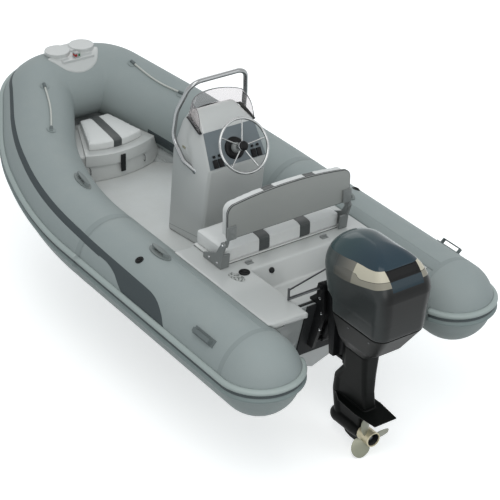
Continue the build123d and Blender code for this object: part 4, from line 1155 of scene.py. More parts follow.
def build_screw(w, given):
    """A low domed head with a dark driver recess."""
    joined = w.node("GeometryNodeJoinGeometry")
    # sides, top and foot radius as shares of the radius, depth and lift of the height
    for sides, top, foot, depth, rise, material in (
            (20, 0.88, 1.0, 1.0, 0.0, "Material"), (20, 0.5, 0.88, 0.35, 1.0, "Material"),
            (6, 0.36, 0.36, 0.1, 1.3, "Dark material")):
        cone = w.node("GeometryNodeMeshCone", {
            "Vertices": sides, "Radius Top": w.times(given["Radius"], top),
            "Radius Bottom": w.times(given["Radius"], foot),
            "Depth": w.times(given["Height"], depth)})
        lift = w.node("ShaderNodeCombineXYZ", {"Z": w.times(given["Height"], rise)})
        moved = w.node("GeometryNodeTransform", {"Geometry": cone.outputs[0],
                                                 "Translation": lift.outputs[0]})
        w.tree.links.new(coloured(w, moved.outputs[0], given[material]), joined.inputs[0])
    return joined.outputs[0]


def build_stitch(w, given):
    """One stitch, a low bead lying along the seam."""
    bead = w.node("GeometryNodeMeshUVSphere", {"Segments": 6, "Rings": 4, "Radius": 1.0})
    size = w.node("ShaderNodeCombineXYZ", {"X": w.times(given["Length"], 0.5),
                                           "Y": given["Thick"], "Z": given["Thick"]})
    shaped = w.node("GeometryNodeTransform", {"Geometry": bead.outputs[0],
                                              "Scale": size.outputs[0]})
    return coloured(w, shaped.outputs[0], given["Material"])


SCREWS = scatter_tree("screw heads", build_screw, [("Radius", 0.005), ("Height", 0.0025)])
STITCHES = scatter_tree("stitch row", build_stitch, [("Length", 0.004), ("Thick", 0.0006)])


def scatter(name, tree, spots, material, body="root", **numbers):
    """Stand the tree's shape on spots: (place, aim) or (place, aim, lay)."""
    mesh = bpy.data.meshes.new(name)
    mesh.from_pydata([tuple(s[0]) for s in spots], [], [])
    for title, index in (("aim", 1), ("lay", 2)):
        values = []
        for s in spots:
            value = Vector(s[index]) if index < len(s) else Vector(s[1]).normalized().orthogonal()
            values += list(value.normalized())
        mesh.attributes.new(title, "FLOAT_VECTOR", "POINT").data.foreach_set("vector", values)
    made = linked(name, mesh, body)
    nodes = made.modifiers.new("scatter", "NODES")
    nodes.node_group = tree
    for item in tree.interface.items_tree:
        if item.in_out == "INPUT" and item.socket_type != "NodeSocketGeometry":
            if item.name == "Material":
                nodes[item.identifier] = material
            elif item.name == "Dark material":
                nodes[item.identifier] = black_rubber
            elif item.name in numbers:
                nodes[item.identifier] = float(numbers[item.name])
    baked(made).data.shade_smooth()
    return creased(made, 35)


# ===== cushions =====
STRIPE_Y, STRIPE_HALF, STRIPE_SHIFT = 0.145, 0.037, -0.020


def striped_vinyl(name, middles, half):
    """White vinyl with sewn-in charcoal stripes that run fore and aft."""
    def stripes(w, place):
        masks = [band_mask(w, w.split(place)[1], middle, half) for middle in middles]
        dark = masks[0] if len(masks) == 1 else w.math("MAXIMUM", *masks)
        return [(dark, (58, 62, 62))]
    return finish_of(name, (204, 205, 203), 0.42, mottle=(5.0, 0.05), bump=(GRAIN, 330.0, 0.0003),
                     paint=stripes, dust=0.05, Sheen_Weight=0.08)


helm_vinyl = striped_vinyl("striped vinyl, helm seat",
                           (STRIPE_SHIFT - STRIPE_Y, STRIPE_SHIFT + STRIPE_Y), STRIPE_HALF)
BOW_STRIPE_HALF = 0.031
bow_vinyl = striped_vinyl("striped vinyl, bow", (0.0,), BOW_STRIPE_HALF)


VOXEL, FILL_FRAMES, FILL_FORCE = 0.006, 20, 4.0
INSET, KEPT_OFF = 0.004, 0.0008    # room left for the filling, and off the face it rests on
# Seams pressed in, as depth and reach: across, round the crown's edge, round the flat face's edge
CROSS_SEAM, TOP_SEAM, RIM_SEAM = (0.0024, 0.0034), (0.0022, 0.0032), (0.0016, 0.0032)


def pressed(off, seam):
    """How deep a seam presses in at a distance from it."""
    depth, reach = seam
    return depth * math.exp(-(off / reach) ** 2)


def cushion(node, name, body, material, rests, cap, crown, seams, square):
    """A filled cushion: swollen by cloth simulation, then sewn in along its seams.

    rests is the axis and side of its flat face, cap how far a point may move, crown the extra
    rise in the middle of the opposite face, seams the y of each cross seam, and square starts
    it from a block with crisp edges.
    """
    made = copy_of(node, name, material, body)
    low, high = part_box(node)
    low, high = Vector(low), Vector(high)
    middle = (low + high) / 2
    axis, side = rests
    if square:
        block = bmesh.new()
        bmesh.ops.create_cube(block, size=1.0)
        for vert in block.verts:
            vert.co = middle + vert.co * (high - low)
        bmesh.ops.bevel(block, geom=block.edges[:], offset=0.011, segments=3, profile=0.5,
                        affect="EDGES")
        block.to_mesh(made.data)
        block.free()
    for vert in made.data.vertices:
        for n in range(3):
            span = (high[n] - low[n]) / 2
            vert.co[n] = middle[n] + (vert.co[n] - middle[n]) * (span - INSET) / span
        if (vert.co[axis] - middle[axis]) * side > 0:
            half = (high[axis] - low[axis]) / 2 - INSET
            off = abs(vert.co[axis] - middle[axis])
            vert.co[axis] += side * (INSET - KEPT_OFF) * off / half
    remesh = made.modifiers.new("voxels", "REMESH")
    remesh.mode, remesh.voxel_size = "VOXEL", VOXEL
    baked(made)
    start = [v.co.copy() for v in made.data.vertices]
    end = start
    cloth = made.modifiers.new("filling", "CLOTH")
    cloth.settings.quality = 4
    cloth.settings.mass = 0.25
    cloth.settings.use_pressure = True
    cloth.settings.uniform_pressure_force = FILL_FORCE
    cloth.settings.effector_weights.gravity = 0.0
    scene = bpy.context.scene
    cloth.point_cache.frame_start, cloth.point_cache.frame_end = 1, FILL_FRAMES
    for frame_number in range(1, FILL_FRAMES + 1):
        scene.frame_set(frame_number)
    settled = made.evaluated_get(bpy.context.evaluated_depsgraph_get())
    end = [v.co.copy() for v in settled.data.vertices]
    made.modifiers.clear()
    scene.frame_set(1)
    flat = high[axis] if side > 0 else low[axis]
    for vert, a, b in zip(made.data.vertices, start, end):
        move = b - a
        if move.length > cap:
            move *= cap / move.length
        vert.co = a + move
        edge = 1.0
        for n in range(3):
            if n != axis:
                t = min(1.0, abs(vert.co[n] - middle[n]) / ((high[n] - low[n]) / 2))
                edge *= 1 - t ** 4
        if (vert.co[axis] - middle[axis]) * side < 0:
            vert.co[axis] -= side * crown * edge
        if (flat - vert.co[axis]) * side < 0.001:
            vert.co[axis] = flat - side * KEPT_OFF
    smooth = made.modifiers.new("round", "SUBSURF")
    smooth.levels = smooth.render_levels = 1
    baked(made)
    rim = flat - side * 0.010
    far = low[axis] if side > 0 else high[axis]
    top = far + side * (0.014 + INSET)
    made.data.update()
    normals = [n.vector.copy() for n in made.data.vertex_normals]
    for vert, normal in zip(made.data.vertices, normals):
        depth = sum(pressed(vert.co.y - y, CROSS_SEAM) for y in seams)
        wall = max(0.0, 1 - abs(normal[axis]) * 1.6)
        depth += wall * pressed(vert.co[axis] - top, TOP_SEAM)
        depth += wall * pressed(vert.co[axis] - rim, RIM_SEAM)
        vert.co -= normal * depth
    made.data.shade_smooth()
    made.data.update()
    return made


STITCH_STEP, STITCH_OFF = 0.0065, 0.0052    # along the seam, and off to each side of it


def seam_stitches(obj, name, body, seams, span, probe):
    """Stitches on both sides of each cross seam, found by dropping rays along probe."""
    spots = []
    aim = Vector(probe)
    for y in seams:
        for shift in (-STITCH_OFF, STITCH_OFF):
            for s in spread(*span, int(abs(span[1] - span[0]) / STITCH_STEP)):
                origin = Vector(s_place(aim, s, y + shift)) - aim * 0.5
                found, place, normal, _ = obj.ray_cast(origin, aim)
                if found and normal.dot(-aim) > 0.5:
                    lay = Vector((0, 1, 0)).cross(normal)
                    spots.append((place + normal * 0.0002, normal, lay))
    scatter(name, STITCHES, spots, thread_grey, body, Length=0.0042, Thick=0.0006)


def s_place(aim, s, y):
    """A place on the probing plane: s runs along x for a level cushion, z for an upright one."""
    if abs(aim.z) > 0.5:
        return (s, y, 0.45)
    return (-0.80, y, s)


thread_grey = finish_of("grey thread", (120, 122, 120), 0.6, mottle=(40.0, 0.1))
helm_seams = [STRIPE_SHIFT + s * (STRIPE_Y + t * STRIPE_HALF) for s in (-1, 1) for t in (-1, 1)]
bow_seams = [-BOW_STRIPE_HALF, BOW_STRIPE_HALF]
# node, name, stitches' name, body, vinyl, flat face's axis, cap, crown, seams, square, the
# stitches' axis and how far inside the box's two ends they stop, and the way they are found
for node, name, rows, body, vinyl, flat, cap, crown, seams, square, run, ends, probe in (
        ("seat_cushion", "helm_seat_pad", "helm_seat_stitches", "helm_seat", helm_vinyl, 2,
         0.0045, 0.006, helm_seams, True, 0, (0.02, 0.02), (0, 0, -1)),
        ("backrest_cushion", "backrest_pad", "backrest_stitches", "backrest", helm_vinyl, 0,
         0.005, 0.005, helm_seams, False, 2, (0.02, 0.03), (-1, 0, 0)),
        ("bow_cushion", "bow_locker_pad", "bow_pad_stitches", "bow_lid", bow_vinyl, 2,
         0.005, 0.004, bow_seams, False, 0, (0.03, 0.02), (0, 0, -1))):
    pad = cushion(node, name, body, vinyl, (flat, -1), cap, crown, seams, square)
    low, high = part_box(node)
    seam_stitches(pad, rows, body, seams, (low[run] + ends[0], high[run] - ends[1]), probe)


# ===== backrest shell =====
BACK_LOW, BACK_SIDE, BACK_CROWN, BACK_HALF = 0.407, 0.614, 0.038, 0.430


def back_edge(margin, corner, count=30):
    """The crowned outline of the backrest, as (y, z) round from the lower port corner."""
    half, low, side = BACK_HALF - margin, BACK_LOW + margin, BACK_SIDE - margin
    radius = (half ** 2 + BACK_CROWN ** 2) / (2 * BACK_CROWN)
    top = side + BACK_CROWN

    def crown(y):
        return top - radius + math.sqrt(radius ** 2 - y ** 2)

    tilt = math.asin((half - corner) / radius)
    path = [(half - 0.012, low), (half - 0.0035, low + 0.0035), (half, low + 0.012)]
    cy, cz = half - corner, crown(half - corner) - corner
    path.append((half, cz))
    for k in range(1, 12):
        a = (math.pi / 2 - tilt) * k / 12
        path.append((cy + corner * math.cos(a), cz + corner * math.sin(a)))
    for k in range(count + 1):
        y = (half - corner) * (1 - 2 * k / count)
        path.append((y, crown(y)))
    first = len(path) - count - 1
    path += [(-y, z) for y, z in reversed(path[:first])]
    return path


def backrest_piping():
    """Dark piping round both edges of the shell."""
    for name, x, margin, radius in (("rear_piping", 0.6535, 0.0025, 0.0036),
                                    ("front_piping", 0.6655, 0.0030, 0.0032)):
        loop = [at(x, y, z) for y, z in back_edge(margin, 0.058 - margin)]
        verts, around, side = [], 10, Vector((1, 0, 0))
        for k, place in enumerate(loop):
            aim = (loop[(k + 1) % len(loop)] - loop[k - 1]).normalized()
            verts += circle(place, side, aim.cross(side), radius, around)
        outward(piece(name, verts, rings_to_faces(len(loop), around, wrapped=True), piping,
                      "backrest"))


backrest_piping()


def gap_shadow_band(w, place):
    """A painted shadow for the dark gap under a pale board: its lowest few millimetres made dark.
    """
    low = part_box("seat_lid")[0][2]
    return [(w.rest(w.ramp(w.split(place)[2], low + 0.004, low + 0.0045)), (34, 36, 36))]


# The seat board: pale, with painted shade along its foot for the gap beneath
board_finish = finish_of("covered board", (196, 197, 195), 0.45, mottle=(5.0, 0.05),
                         bump=(GRAIN, 330.0, 0.0003), paint=gap_shadow_band)
board = copy_of("seat_lid", "helm_seat_board", board_finish, "helm_seat")
lid_low, lid_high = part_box("seat_lid")
for vert in board.data.vertices:
    vert.co.y -= math.copysign(0.012, vert.co.y) if abs(vert.co.y) > 0.3 else 0
    vert.co.x += 0.007 if vert.co.x < (lid_low[0] + lid_high[0]) / 2 else -0.004
eased(board, 0.002, 2)
BRACKET_FACE = 0.4515
scatter("bracket_bolts", SCREWS,
        [(at(x, side * BRACKET_FACE, z), (0, side, 0)) for side, _ in SIDES
         for x, z in ((0.667, 0.372), (0.72, 0.236), (0.80, 0.236))],
        stainless, "helm_seat", Radius=0.0085, Height=0.0035)

# ===== outboard motor =====
# Plan sections: z, forward, aft, half width, nose depth, corner radius
COVER = [
    (0.190, 0.048, -0.402, 0.172, 0.040, 0.070), (0.278, 0.048, -0.410, 0.178, 0.040, 0.075),
    (0.300, 0.150, -0.412, 0.180, 0.120, 0.080), (0.440, 0.182, -0.425, 0.188, 0.140, 0.080),
]
DOME_Z, DOME_RISE, DOME_ROWS = 0.440, 0.212, 90
FLASH_TOP = [(-0.46, 0.622), (-0.366, 0.606), (-0.316, 0.592), (-0.252, 0.581), (-0.187, 0.577),
             (-0.132, 0.573), (-0.056, 0.564), (0.0, 0.561), (0.06, 0.556)]
FLASH_LOW = [(-0.46, 0.548), (-0.368, 0.516), (-0.273, 0.491), (-0.177, 0.468), (-0.092, 0.452),
             (-0.025, 0.450), (0.06, 0.452)]
SPLIT = [(-0.46, 0.572), (-0.39, 0.557), (-0.335, 0.543), (-0.25, 0.520), (-0.205, 0.513),
         (-0.172, 0.524), (0.06, 0.468)]
# The vent in the cowl's aft face: half width, lower and upper edge
VENT_HALF, VENT_LOW, VENT_HIGH = 0.105, 0.5505, 0.594
VENT_DEPTH = 0.013


def curve_of(w, x, points):
    """z as a function of x along a smooth line, as a float curve node."""
    low, high = points[0][0], points[-1][0]
    node = w.node("ShaderNodeFloatCurve", {"Value": w.math("DIVIDE", w.minus(x, low),
                                                           high - low)})
    curve = node.mapping.curves[0]
    first, *inner, last = [((px - low) / (high - low), (pz - 0.4) * 4) for px, pz in points]
    curve.points[0].location = first
    for place in inner:
        curve.points.new(*place)
    curve.points[len(curve.points) - 1].location = last
    node.mapping.update()
    return w.math("MULTIPLY_ADD", node.outputs[0], 0.25, 0.4)


def cowl_paint(w, place):
    """Teal dome, silver flash in two bands, dark sides painted lighter towards the front as a
    sheen, and the black vent behind.
    """
    x, y, z = w.split(place)
    x, z = w.math("ADD", x, ORIGIN_X), w.minus(z, -WATERLINE)
    over_part = w.minus(z, curve_of(w, x, SPLIT))
    above = w.ramp(w.minus(z, curve_of(w, x, FLASH_TOP)), -0.0005, 0.0005)
    inside = w.times(w.rest(above), w.ramp(w.minus(z, curve_of(w, x, FLASH_LOW)), -0.0008,
                                           0.0008), w.ramp(w.times(x, -1.0), -0.01, 0.02))
    silver = w.mix(w.ramp(x, -0.155, -0.145), srgb(186, 180, 162),
                   w.mix(w.ramp(x, -0.17, 0.03), srgb(116, 113, 105), srgb(52, 57, 57)))
    below = w.times(w.rest(w.ramp(over_part, -0.001, 0.001)), 0.6)
    silver = w.mix(below, silver, srgb(84, 82, 76))
    along_part = w.times(band_mask(w, over_part, 0.0, 0.0012), w.rest(w.ramp(x, -0.17, -0.16)))
    down = w.times(band_mask(w, x, -0.150, 0.0012), w.ramp(z, 0.524, 0.528))
    line = w.times(w.math("MAXIMUM", along_part, down), inside)
    aft = w.times(w.rest(w.ramp(x, -0.262, -0.258)),
                  w.rest(w.ramp(w.math("ABSOLUTE", y), VENT_HALF - 0.001, VENT_HALF + 0.001)))
    behind = w.rest(w.ramp(x, -0.425, -0.375))
    vent = w.times(aft, band_mask(w, z, 0.572, 0.022, 0.001))
    panel = w.times(aft, band_mask(w, z, 0.525, 0.025, 0.001))
    roof = w.times(aft, w.ramp(z, 0.5935, 0.5945))
    crown = w.times(w.ramp(x, -0.25, 0.10), above)
    # First layer: a painted sheen, the dark sides lighter towards the front
    return [(w.ramp(x, -0.12, 0.14), (66, 75, 74), 0.3), (behind, (10, 10, 10), 0.35),
            (w.times(inside, w.rest(aft)), silver, 0.24), (line, (34, 34, 32), 0.5),
            (above, (36, 54, 64), 0.14), (crown, (52, 70, 72), 0.16),
            (roof, (36, 54, 64), 0.14), (panel, (32, 48, 56), 0.2), (vent, (4, 5, 6), 0.6)]


cowl_finish = finish_of("cowl enamel", (48, 51, 51), 0.32, mottle=(3.0, 0.03),
                        bump=(None, 2.0, 0.0004), paint=cowl_paint, Coat_Weight=0.06,
                        Coat_Roughness=0.08, Specular_IOR_Level=0.2)
pan_finish = finish_of("pan enamel", (22, 23, 22), 0.4, mottle=(4.0, 0.05),
                       bump=(None, 120.0, 0.0001), wear=((44, 45, 45), 0.15),
                       Specular_IOR_Level=0.1)
leg_finish = finish_of("leg enamel", (8, 10, 9), 0.42, mottle=(4.0, 0.08),
                       bump=(None, 90.0, 0.00015), wear=((44, 46, 44), 0.15),
                       Specular_IOR_Level=0.1)
bracket_finish = finish_of("bracket enamel", (20, 21, 22), 0.4, mottle=(6.0, 0.1),
                           bump=(None, 160.0, 0.0002), wear=((70, 72, 72), 0.3),
                           Specular_IOR_Level=0.12)
propeller_finish = finish_of("propeller enamel", (206, 196, 166), 0.34, metal=0.4,
                             mottle=(6.0, 0.08), bump=(None, 200.0, 0.0001),
                             wear=((216, 210, 192), 0.3))
# The blades: a darker copy of the propeller's enamel, painted shade
blade_enamel_painted_shade = finish_of("propeller enamel, blades painted darker as shaded", (140, 141, 124), 0.36, metal=0.3,
                         mottle=(6.0, 0.08), bump=(None, 200.0, 0.0001))
steel_dark = finish_of("dark steel", (96, 98, 100), 0.3, metal=0.9, mottle=(8.0, 0.1),
                       bump=(None, 200.0, 0.0001))


FINE = 2    # how finely the cowling's outline is divided


def motor_ring(z, fwd, aft, half, nose, corner):
    """The motor's plan outline at one height, from the stem round to port and back."""
    reach = min(nose * 1.3, (fwd - aft) * 0.45)
    shoulder = fwd - reach
    outline = []
    for k in range(16 * FINE + 1):
        a = math.pi / 2 * k / (16 * FINE)
        outline.append((shoulder + reach * math.cos(a) ** 0.9, half * math.sin(a) ** 0.92))
    for k in range(1, 14 * FINE):
        outline.append((shoulder + (aft + corner - shoulder) * k / (14 * FINE), half))
    for k in range(12 * FINE + 1):
        a = math.pi / 2 * k / (12 * FINE)
        outline.append((aft + corner - corner * math.sin(a), half - corner + corner * math.cos(a)))
    for k in range(1, 8 * FINE + 1):
        outline.append((aft, (half - corner) * (1 - k / (8 * FINE))))
    whole = outline + [(x, -y) for x, y in reversed(outline[1:-1])]
    return [at(x, y, z) for x, y in whole]


def lofted(name, rows, material, body):
    """Skin over plan rows, closed at both ends."""
    rings = [motor_ring(*row) for row in rows]
    around = len(rings[0])
    verts = [p for ring in rings for p in ring]
    faces = rings_to_faces(len(rings), around)
    for ring, first in ((rings[0], 0), (rings[-1], (len(rings) - 1) * around)):
        verts.append(sum(ring, Vector()) / around)
        hub = len(verts) - 1
        faces += [(first + k, first + (k + 1) % around, hub) for k in range(around)]
    return outward(piece(name, verts, faces, material, body))


def smooth_rows(rows, z_values):
    return [(z,) + tuple(along([(row[0], row[n]) for row in rows], z) for n in range(1, 6))
            for z in z_values]


def cowling():
    rows = [(0.1915, 0.044, -0.398, 0.168, 0.040, 0.070), (0.1955, 0.048, -0.4015, 0.1715,
                                                          0.040, 0.070)]
    rows += smooth_rows(COVER[:2], spread(0.200, 0.272, 5))
    rows += [(0.279, 0.052, -0.410, 0.178, 0.042, 0.075), (0.287, 0.080, -0.411, 0.179, 0.065,
                                                          0.077),
             (0.295, 0.122, -0.4115, 0.1795, 0.10, 0.079)]
    rows += smooth_rows(COVER[2:], spread(0.302, DOME_Z, 30))
    z, fwd, aft, half, nose, corner = rows[-1]
    for k in range(1, DOME_ROWS):
        a = math.pi / 2 * k / DOME_ROWS
        mid = (fwd + aft) / 2 + 0.02 * math.sin(a)
        reach, wide = (fwd - aft) / 2 * math.cos(a) ** 0.75, math.cos(a) ** 0.92
        rows.append((z + DOME_RISE * math.sin(a), mid + reach, mid - reach, half * wide,
                     nose * math.cos(a) ** 0.75, corner * wide))
    made = lofted("cowling_shell", rows, cowl_finish, "motor")
    for vert in made.data.vertices:
        x, y, z = vert.co.x + ORIGIN_X, abs(vert.co.y), vert.co.z + WATERLINE
        if x < -0.30 and y < VENT_HALF and VENT_LOW < z < VENT_HIGH:
            depth = min(1.0, (z - VENT_LOW) / 0.006) * min(1.0, (VENT_HIGH - z) / 0.006)
            vert.co.x += VENT_DEPTH * depth * min(1.0, (VENT_HALF - y) / 0.010)
    made.data.update()
    stands_for(made, "engine_cover")


cowling()
finish_nodes(iron, "engine_block")

SHAFT_Z, HUB_AFT = -0.612, -0.212
BLADES, BLADE_TURN, BLADE_X = 3, -16, -0.1625
BLADE_ROOT, BLADE_TIP, BLADE_CHORD = 0.0425, 0.140, 0.050


def propeller():
    """Exhaust hub with three cupped blades."""
    hub = lathe([(0.0, 0.087), (0.030, 0.087), (0.0385, 0.080), (0.0385, 0.006), (0.0400, 0.0),
                 (0.0455, 0.0), (0.0470, 0.004), (0.0462, 0.012), (0.0458, 0.050),
                 (0.0458, 0.094), (0.0440, 0.099), (0.0, 0.099)], at(HUB_AFT, 0, SHAFT_Z),
                (1, 0, 0), "propeller_hub", [propeller_finish, black_rubber], "screw",
                around=56, tints=[1, 1, 1] + [0] * 8)
    stands_for(creased(hub, 40), "propeller")
    lathe([(0.0, 0.022), (0.013, 0.022), (0.0155, 0.026), (0.0155, 0.1), (0.0, 0.1)],
          at(HUB_AFT, 0, SHAFT_Z), (1, 0, 0), "propeller_nut", steel_dark, "screw")
    verts, faces = [], []
    rows, half_around = 26, 13
    for number in range(BLADES):
        spin = Matrix.Rotation(math.radians(BLADE_TURN + 360 / BLADES * number), 3, "X")
        first = len(verts)
        for k in range(rows + 1):
            share = k / rows
            radius = BLADE_ROOT + (BLADE_TIP - BLADE_ROOT) * share
            swell = abs(2 * min(share * 0.94 + 0.06, 1) - 1.02) ** 2.3
            chord = BLADE_CHORD * math.sqrt(max(0.0006, 1 - swell)) + 0.016 * (1 - share) ** 2
            pitch = math.radians(35 - 11 * share)
            along_chord = Vector((math.sin(pitch), -math.cos(pitch), 0))
            across = Vector((-math.cos(pitch), -math.sin(pitch), 0))
            thick = 0.0042 * (1 - share) + 0.0011
            skew = -0.010 * share ** 2
            for n in range(2 * half_around):
                t = -1 + 2 * (n % half_around) / (half_around - 1)
                if n >= half_around:
                    t = -t
                bow = (1 - t * t)
                camber = 0.0045 * bow * (1 - 0.3 * share)
                side = 1 if n < half_around else -1
                place = Vector((0, 0, radius)) + along_chord * (chord * t + skew)
                place += across * (camber + side * (thick * bow * 0.5 + 0.0004))
                verts.append(at(BLADE_X, 0, SHAFT_Z) + spin @ place)
        around = 2 * half_around
        faces += rings_to_faces(rows + 1, around, first=first)
        faces += [ring_face(row, around, first) for row in (0, rows)]
    blades = outward(piece("propeller_blades", verts, faces, blade_enamel_painted_shade, "screw"))
    creased(blades, 50)


propeller()

scatter("clamp_bolts", SCREWS,
        [(at(x, side * 0.1035, z), (0, side, 0)) for side, _ in SIDES
         for x, z in ((0.205, 0.150), (0.188, 0.060), (0.196, -0.050))],
        stainless, Radius=0.0095, Height=0.006)
scatter("pan_screws", SCREWS,
        [(at(x, side * y, 0.150), (0, side, -0.25)) for side, _ in SIDES
         for x, y in ((-0.30, 0.158), (-0.12, 0.158), (0.0, 0.150))],
        steel_dark, "motor", Radius=0.006, Height=0.003)


# ===== fittings =====
def lamp_paint(w, place):
    """Red lens to port and green to starboard, between a metal base and lid."""
    _, y, z = w.split(place)
    low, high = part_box("bow_light")
    middle, half = (low[2] + high[2]) / 2, (high[2] - low[2]) * 0.27
    lens = w.times(band_mask(w, z, middle, half, 0.0008),
                   w.ramp(w.math("ABSOLUTE", y), 0.004, 0.005))
    port = w.ramp(y, -0.0002, 0.0002)
    return [(w.times(lens, port), (150, 30, 28), 0.12),
            (w.times(lens, w.rest(port)), (22, 104, 60), 0.12)]


lamp_finish = finish_of("lamp, housing and lenses", (142, 144, 143), 0.3, mottle=(9.0, 0.05),
                        paint=lamp_paint, Coat_Weight=0.3)

# Pieces that keep their construction shape: node, name, finish, slot, body, how their edges are
# treated and with what numbers (width and segments, voxel and rounds, or degrees)
for node, name, finish, slot, body, treated, *numbers in (
        ("transom", "transom_board", hull_gelcoat, "hull_gelcoat", "root", eased, 0.004, 2),
        ("stern_deck", "stern_moulding", gelcoat, "deck_gelcoat", "root", moulded, 0.0068, 5),
        ("bow_locker", "locker_moulding", gelcoat, "deck_gelcoat", "root", moulded, 0.0055, 4),
        ("bow_step", "step_moulding", gelcoat, "deck_gelcoat", "root", moulded, 0.0036, 6),
        ("bow_locker_lid", "locker_lid_moulding", gelcoat, "deck_gelcoat", "bow_lid", eased,
         0.006, 4),
        ("locker_latch", "locker_latch_rubber", black_rubber, "black_plastic", "bow_lid", eased,
         0.003, 2),
        ("dash_panel", "dash_plate", dash_grey, "dash_grey", "root", eased, 0.0018, 2),
        ("dash_switches", "dash_rockers", black_plastic, "black_plastic", "root", eased,
         0.0022, 2),
        ("backrest_panel", "backrest_shell", panel_grey, "back_panel", "backrest", eased,
         0.004, 3),
        ("seat_brackets", "helm_seat_brackets", bracket_grey, "bracket_grey", "helm_seat",
         eased, 0.003, 3),
        ("backrest_arms", "helm_backrest_arms", bracket_grey, "bracket_grey", "backrest",
         eased, 0.0026, 3),
        ("seat_hinges", "helm_seat_hinge_leaves", bracket_grey, "stainless", "root", eased,
         0.0012, 2),
        ("engine_pan", "lower_pan", pan_finish, "pan_paint", "motor", moulded, 0.0042, 8),
        ("midsection", "drive_leg", leg_finish, "leg_paint", "motor", moulded, 0.0038, 5),
        ("gearcase", "gearcase_casting", leg_finish, "leg_paint", "motor", moulded, 0.0029, 4),
        ("clamp_bracket", "clamp_castings", bracket_finish, "bracket_paint", "root", eased,
         0.003, 3),
        ("motor_pad", "transom_pad", black_rubber, "black_plastic", "root", eased, 0.003, 2),
        ("swivel_bracket", "swivel_casting", bracket_finish, "bracket_paint", "motor_bracket",
         eased, 0.0012, 2),
        ("tilt_cylinder", "tilt_barrel", bracket_finish, "bracket_paint", "root", creased, 35),
        ("tilt_rod", "tilt_ram_rod", rod_steel, "rod_steel", "cylinder_rod", creased, 35),
        ("steering_ram", "steering_link", steel_dark, "rod_steel", "ram", creased, 35),
        ("bow_light", "navigation_light", lamp_finish, "light_housing", "root", eased, 0.003, 3),
        ("tube_handles", "lifting_handles", handle_rubber, "trim_rubber", "root", eased,
         0.002, 3),
        ("carry_handles", "webbing_loops", webbing, "trim_rubber", "root", eased, 0.0008, 2),
        ("deck_plate", "oval_plate", plate_blank, "plate_blank", "root", eased, 0.0012, 3),
        ("well_drain", "drain_flap", black_rubber, "trim_rubber", "root", eased, 0.0022, 3),
        ("line_patches", "rope_patches", seam_tape, "tube_fabric", "root", eased, 0.0012, 2),
        ("stem_eye", "towing_eye", stainless, "stainless", "root", creased, 40),
        ("transom_eyes", "lifting_eyes", stainless, "stainless", "root", creased, 40)):
    treated(copy_of(node, name, finish, body), *numbers)
locker_rings()


def ribbed_cap(name, centre, axis, radius, height, material):
    """A round screw cap: ribbed rim, dished top with a bar to turn it by."""
    axis, centre = Vector(axis).normalized(), Vector(centre)
    side = axis.orthogonal().normalized()
    cap = lathe([(radius, 0.0), (radius, height * 0.62), (radius * 0.94, height * 0.9),
                 (radius * 0.80, height * 0.96), (radius * 0.74, height * 0.6),
                 (radius * 0.30, height * 0.55), (0.0, height * 0.55)],
                centre, axis, name, material, around=96)
    for vert in cap.data.vertices:
        off = vert.co - centre
        rise = off.dot(axis)
        out = off - axis * rise
        if out.length > radius * 0.97 and rise < height * 0.8:
            turn = math.atan2(out.dot(axis.cross(side)), out.dot(side))
            vert.co -= out.normalized() * 0.0011 * (0.5 + 0.5 * math.cos(24 * turn))
    top, half = centre + axis * height * 0.66, side * radius * 0.66
    pipe(name + "_bar", [top - half, top + half], [], height * 0.24, material, around=12)
    return cap


def caps_and_valves():
    for side, tag in SIDES:
        cap = ribbed_cap("deck_cap_" + tag, at(0.589, side * 0.352, 0.205), UP, 0.033, 0.008,
                         black_plastic)
        stands_for(cap, "deck_caps")
        place, normal = skin(1.017, 65)
        flip = Vector((1, side, 1))
        place, normal = place * flip, normal * flip
        flange = lathe([(0.026, -0.001), (0.026, 0.002), (0.0235, 0.0038), (0.0185, 0.004),
                        (0.0, 0.004)], place, normal, "valve_flange_" + tag, black_rubber)
        stands_for(flange, "inflation_valves")
        ribbed_cap("valve_cap_" + tag, place + normal * 0.003, normal, 0.0178, 0.006,
                   black_plastic)
    # Two small knobs beside the starboard cap
    for number, (x, y) in enumerate(((0.623, -0.427), (0.600, -0.462))):
        lathe([(0.012, 0.0), (0.012, 0.002), (0.0105, 0.0035), (0.007, 0.004), (0.0, 0.0042)],
              at(x, y, 0.2045), UP, f"deck_stud_{number + 1}", black_plastic)


caps_and_valves()


# ===== bow grab lines =====
LINE_PLACES = [(2.640, 105, 0.010), (2.750, 109, 0.008), (2.865, 110, 0.008), (2.965, 106, 0.008),
               (3.040, 102, 0.010)]
LINE_LENGTH, LINE_D = 0.375, 0.012


def grab_line(side, tag):
    """Braided rope from patch to patch along the bow tube."""
    points = [skin(*place)[0] for place in LINE_PLACES]
    points = [Vector((p.x, side * p.y, p.z)) for p in points]
    curve = bpy.data.curves.new("grab_rope_" + tag, "CURVE")
    curve.dimensions = "3D"
    line = curve.splines.new("NURBS")
    line.points.add(len(points) - 1)
    for point, place in zip(line.points, points):
        point.co = (*place, 1)
    line.order_u, line.use_endpoint_u, line.resolution_u = 3, True, 12
    curve.bevel_depth, curve.bevel_resolution, curve.use_fill_caps = LINE_D / 2, 4, True
    curve.materials.append(rope_white)
    rope = stands_for(linked("grab_rope_" + tag, curve, "root"), "grab_line_" + tag)
    for number, (end, inner) in ((1, points[:2]), (2, points[:-3:-1])):
        aim = (end - inner).normalized()
        pipe(f"rope_boss_{tag}_{number}", [end - aim * 0.004, end + aim * 0.031],
                            [], 0.0103, webbing)


grab_line(1, "port")
grab_line(-1, "starboard")


# ===== stage =====
FLOOR_GAP, FLOOR_HALF = 0.004, 30    # how far it lies under the lowest point, and its half width


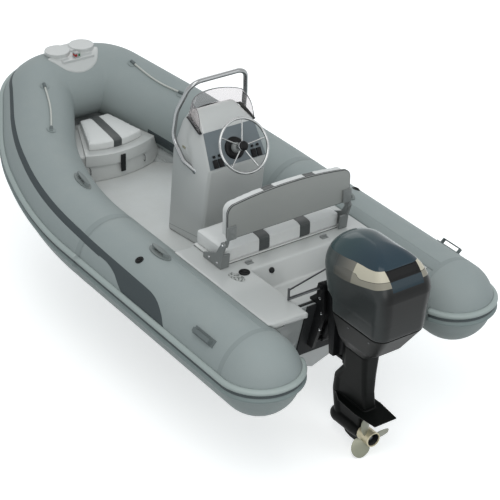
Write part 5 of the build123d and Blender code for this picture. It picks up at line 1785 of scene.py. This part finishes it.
def seen_as(w, kind, hidden, shown):
    """Mix two shaders: one for the light that they give, one for what the camera sees."""
    sees = w.node("ShaderNodeLightPath").outputs
    seen = w.math("MAXIMUM", sees["Is Camera Ray"], sees["Is Transmission Ray"])
    seen = w.math("MAXIMUM", seen, sees["Is Glossy Ray"])
    mixed = w.node("ShaderNodeMixShader", {0: seen, 1: hidden, 2: shown}).outputs[0]
    w.node(kind, {0: mixed})


def stage():
    """A pale floor under the lowest blade, a white surround, and soft lights."""
    scene = bpy.context.scene
    scene.view_settings.view_transform = "Standard"
    world = bpy.data.worlds.new("surround")
    scene.world = world
    w = wiring_of(world)
    soft = w.node("ShaderNodeBackground", {"Color": (0.80, 0.86, 0.90, 1), "Strength": 0.72})
    white = w.node("ShaderNodeBackground", {"Color": (1, 1, 1, 1), "Strength": 1.0})
    seen_as(w, "ShaderNodeOutputWorld", soft.outputs[0], white.outputs[0])

    height, half = cad_low.z - FLOOR_GAP, FLOOR_HALF
    mesh = bpy.data.meshes.new("floor")
    mesh.from_pydata([(-half, -half, height), (half, -half, height), (half, half, height),
                      (-half, half, height)], [], [(0, 1, 2, 3)])
    floor = bpy.data.objects.new("floor", mesh)
    scene.collection.objects.link(floor)
    material = bpy.data.materials.new("pale floor")
    w = wiring_of(material)
    matte = w.node("ShaderNodeBsdfDiffuse", {"Color": (0.80, 0.81, 0.80, 1)})
    glow = w.node("ShaderNodeEmission", {"Color": (1, 1, 1, 1), "Strength": 0.52})
    both = w.node("ShaderNodeAddShader", {0: matte.outputs[0], 1: glow.outputs[0]})
    shaded = w.node("ShaderNodeBsdfDiffuse", {"Color": (0.42, 0.43, 0.43, 1)})
    seen_as(w, "ShaderNodeOutputMaterial", shaded.outputs[0], both.outputs[0])
    mesh.materials.append(material)

    for name, place, aim, power, wide, tone in (
        ("key", (-3.0, 2.6, 7.5), (0, 0, 0.3), 190, 5.0, (1.0, 0.99, 0.97)),
        ("aft", (-8.0, 4.0, 3.2), (0, 0, 0.3), 130, 4.0, (1.0, 0.99, 0.98)),
        ("fill", (-6.0, -3.5, 4.0), (0, 0, 0.2), 60, 4.5, (0.95, 0.98, 1.0)),
        ("rim", (5.0, -2.0, 4.5), (0.5, 0, 0.4), 45, 3.5, (1.0, 1.0, 1.0)),
    ):
        lamp = bpy.data.lights.new(name, "AREA")
        lamp.energy, lamp.size, lamp.color = power, wide, tone
        light = bpy.data.objects.new(name, lamp)
        light.location = place
        light.rotation_euler = (Vector(aim) - Vector(place)).to_track_quat("-Z", "Y").to_euler()
        scene.collection.objects.link(light)


stage()
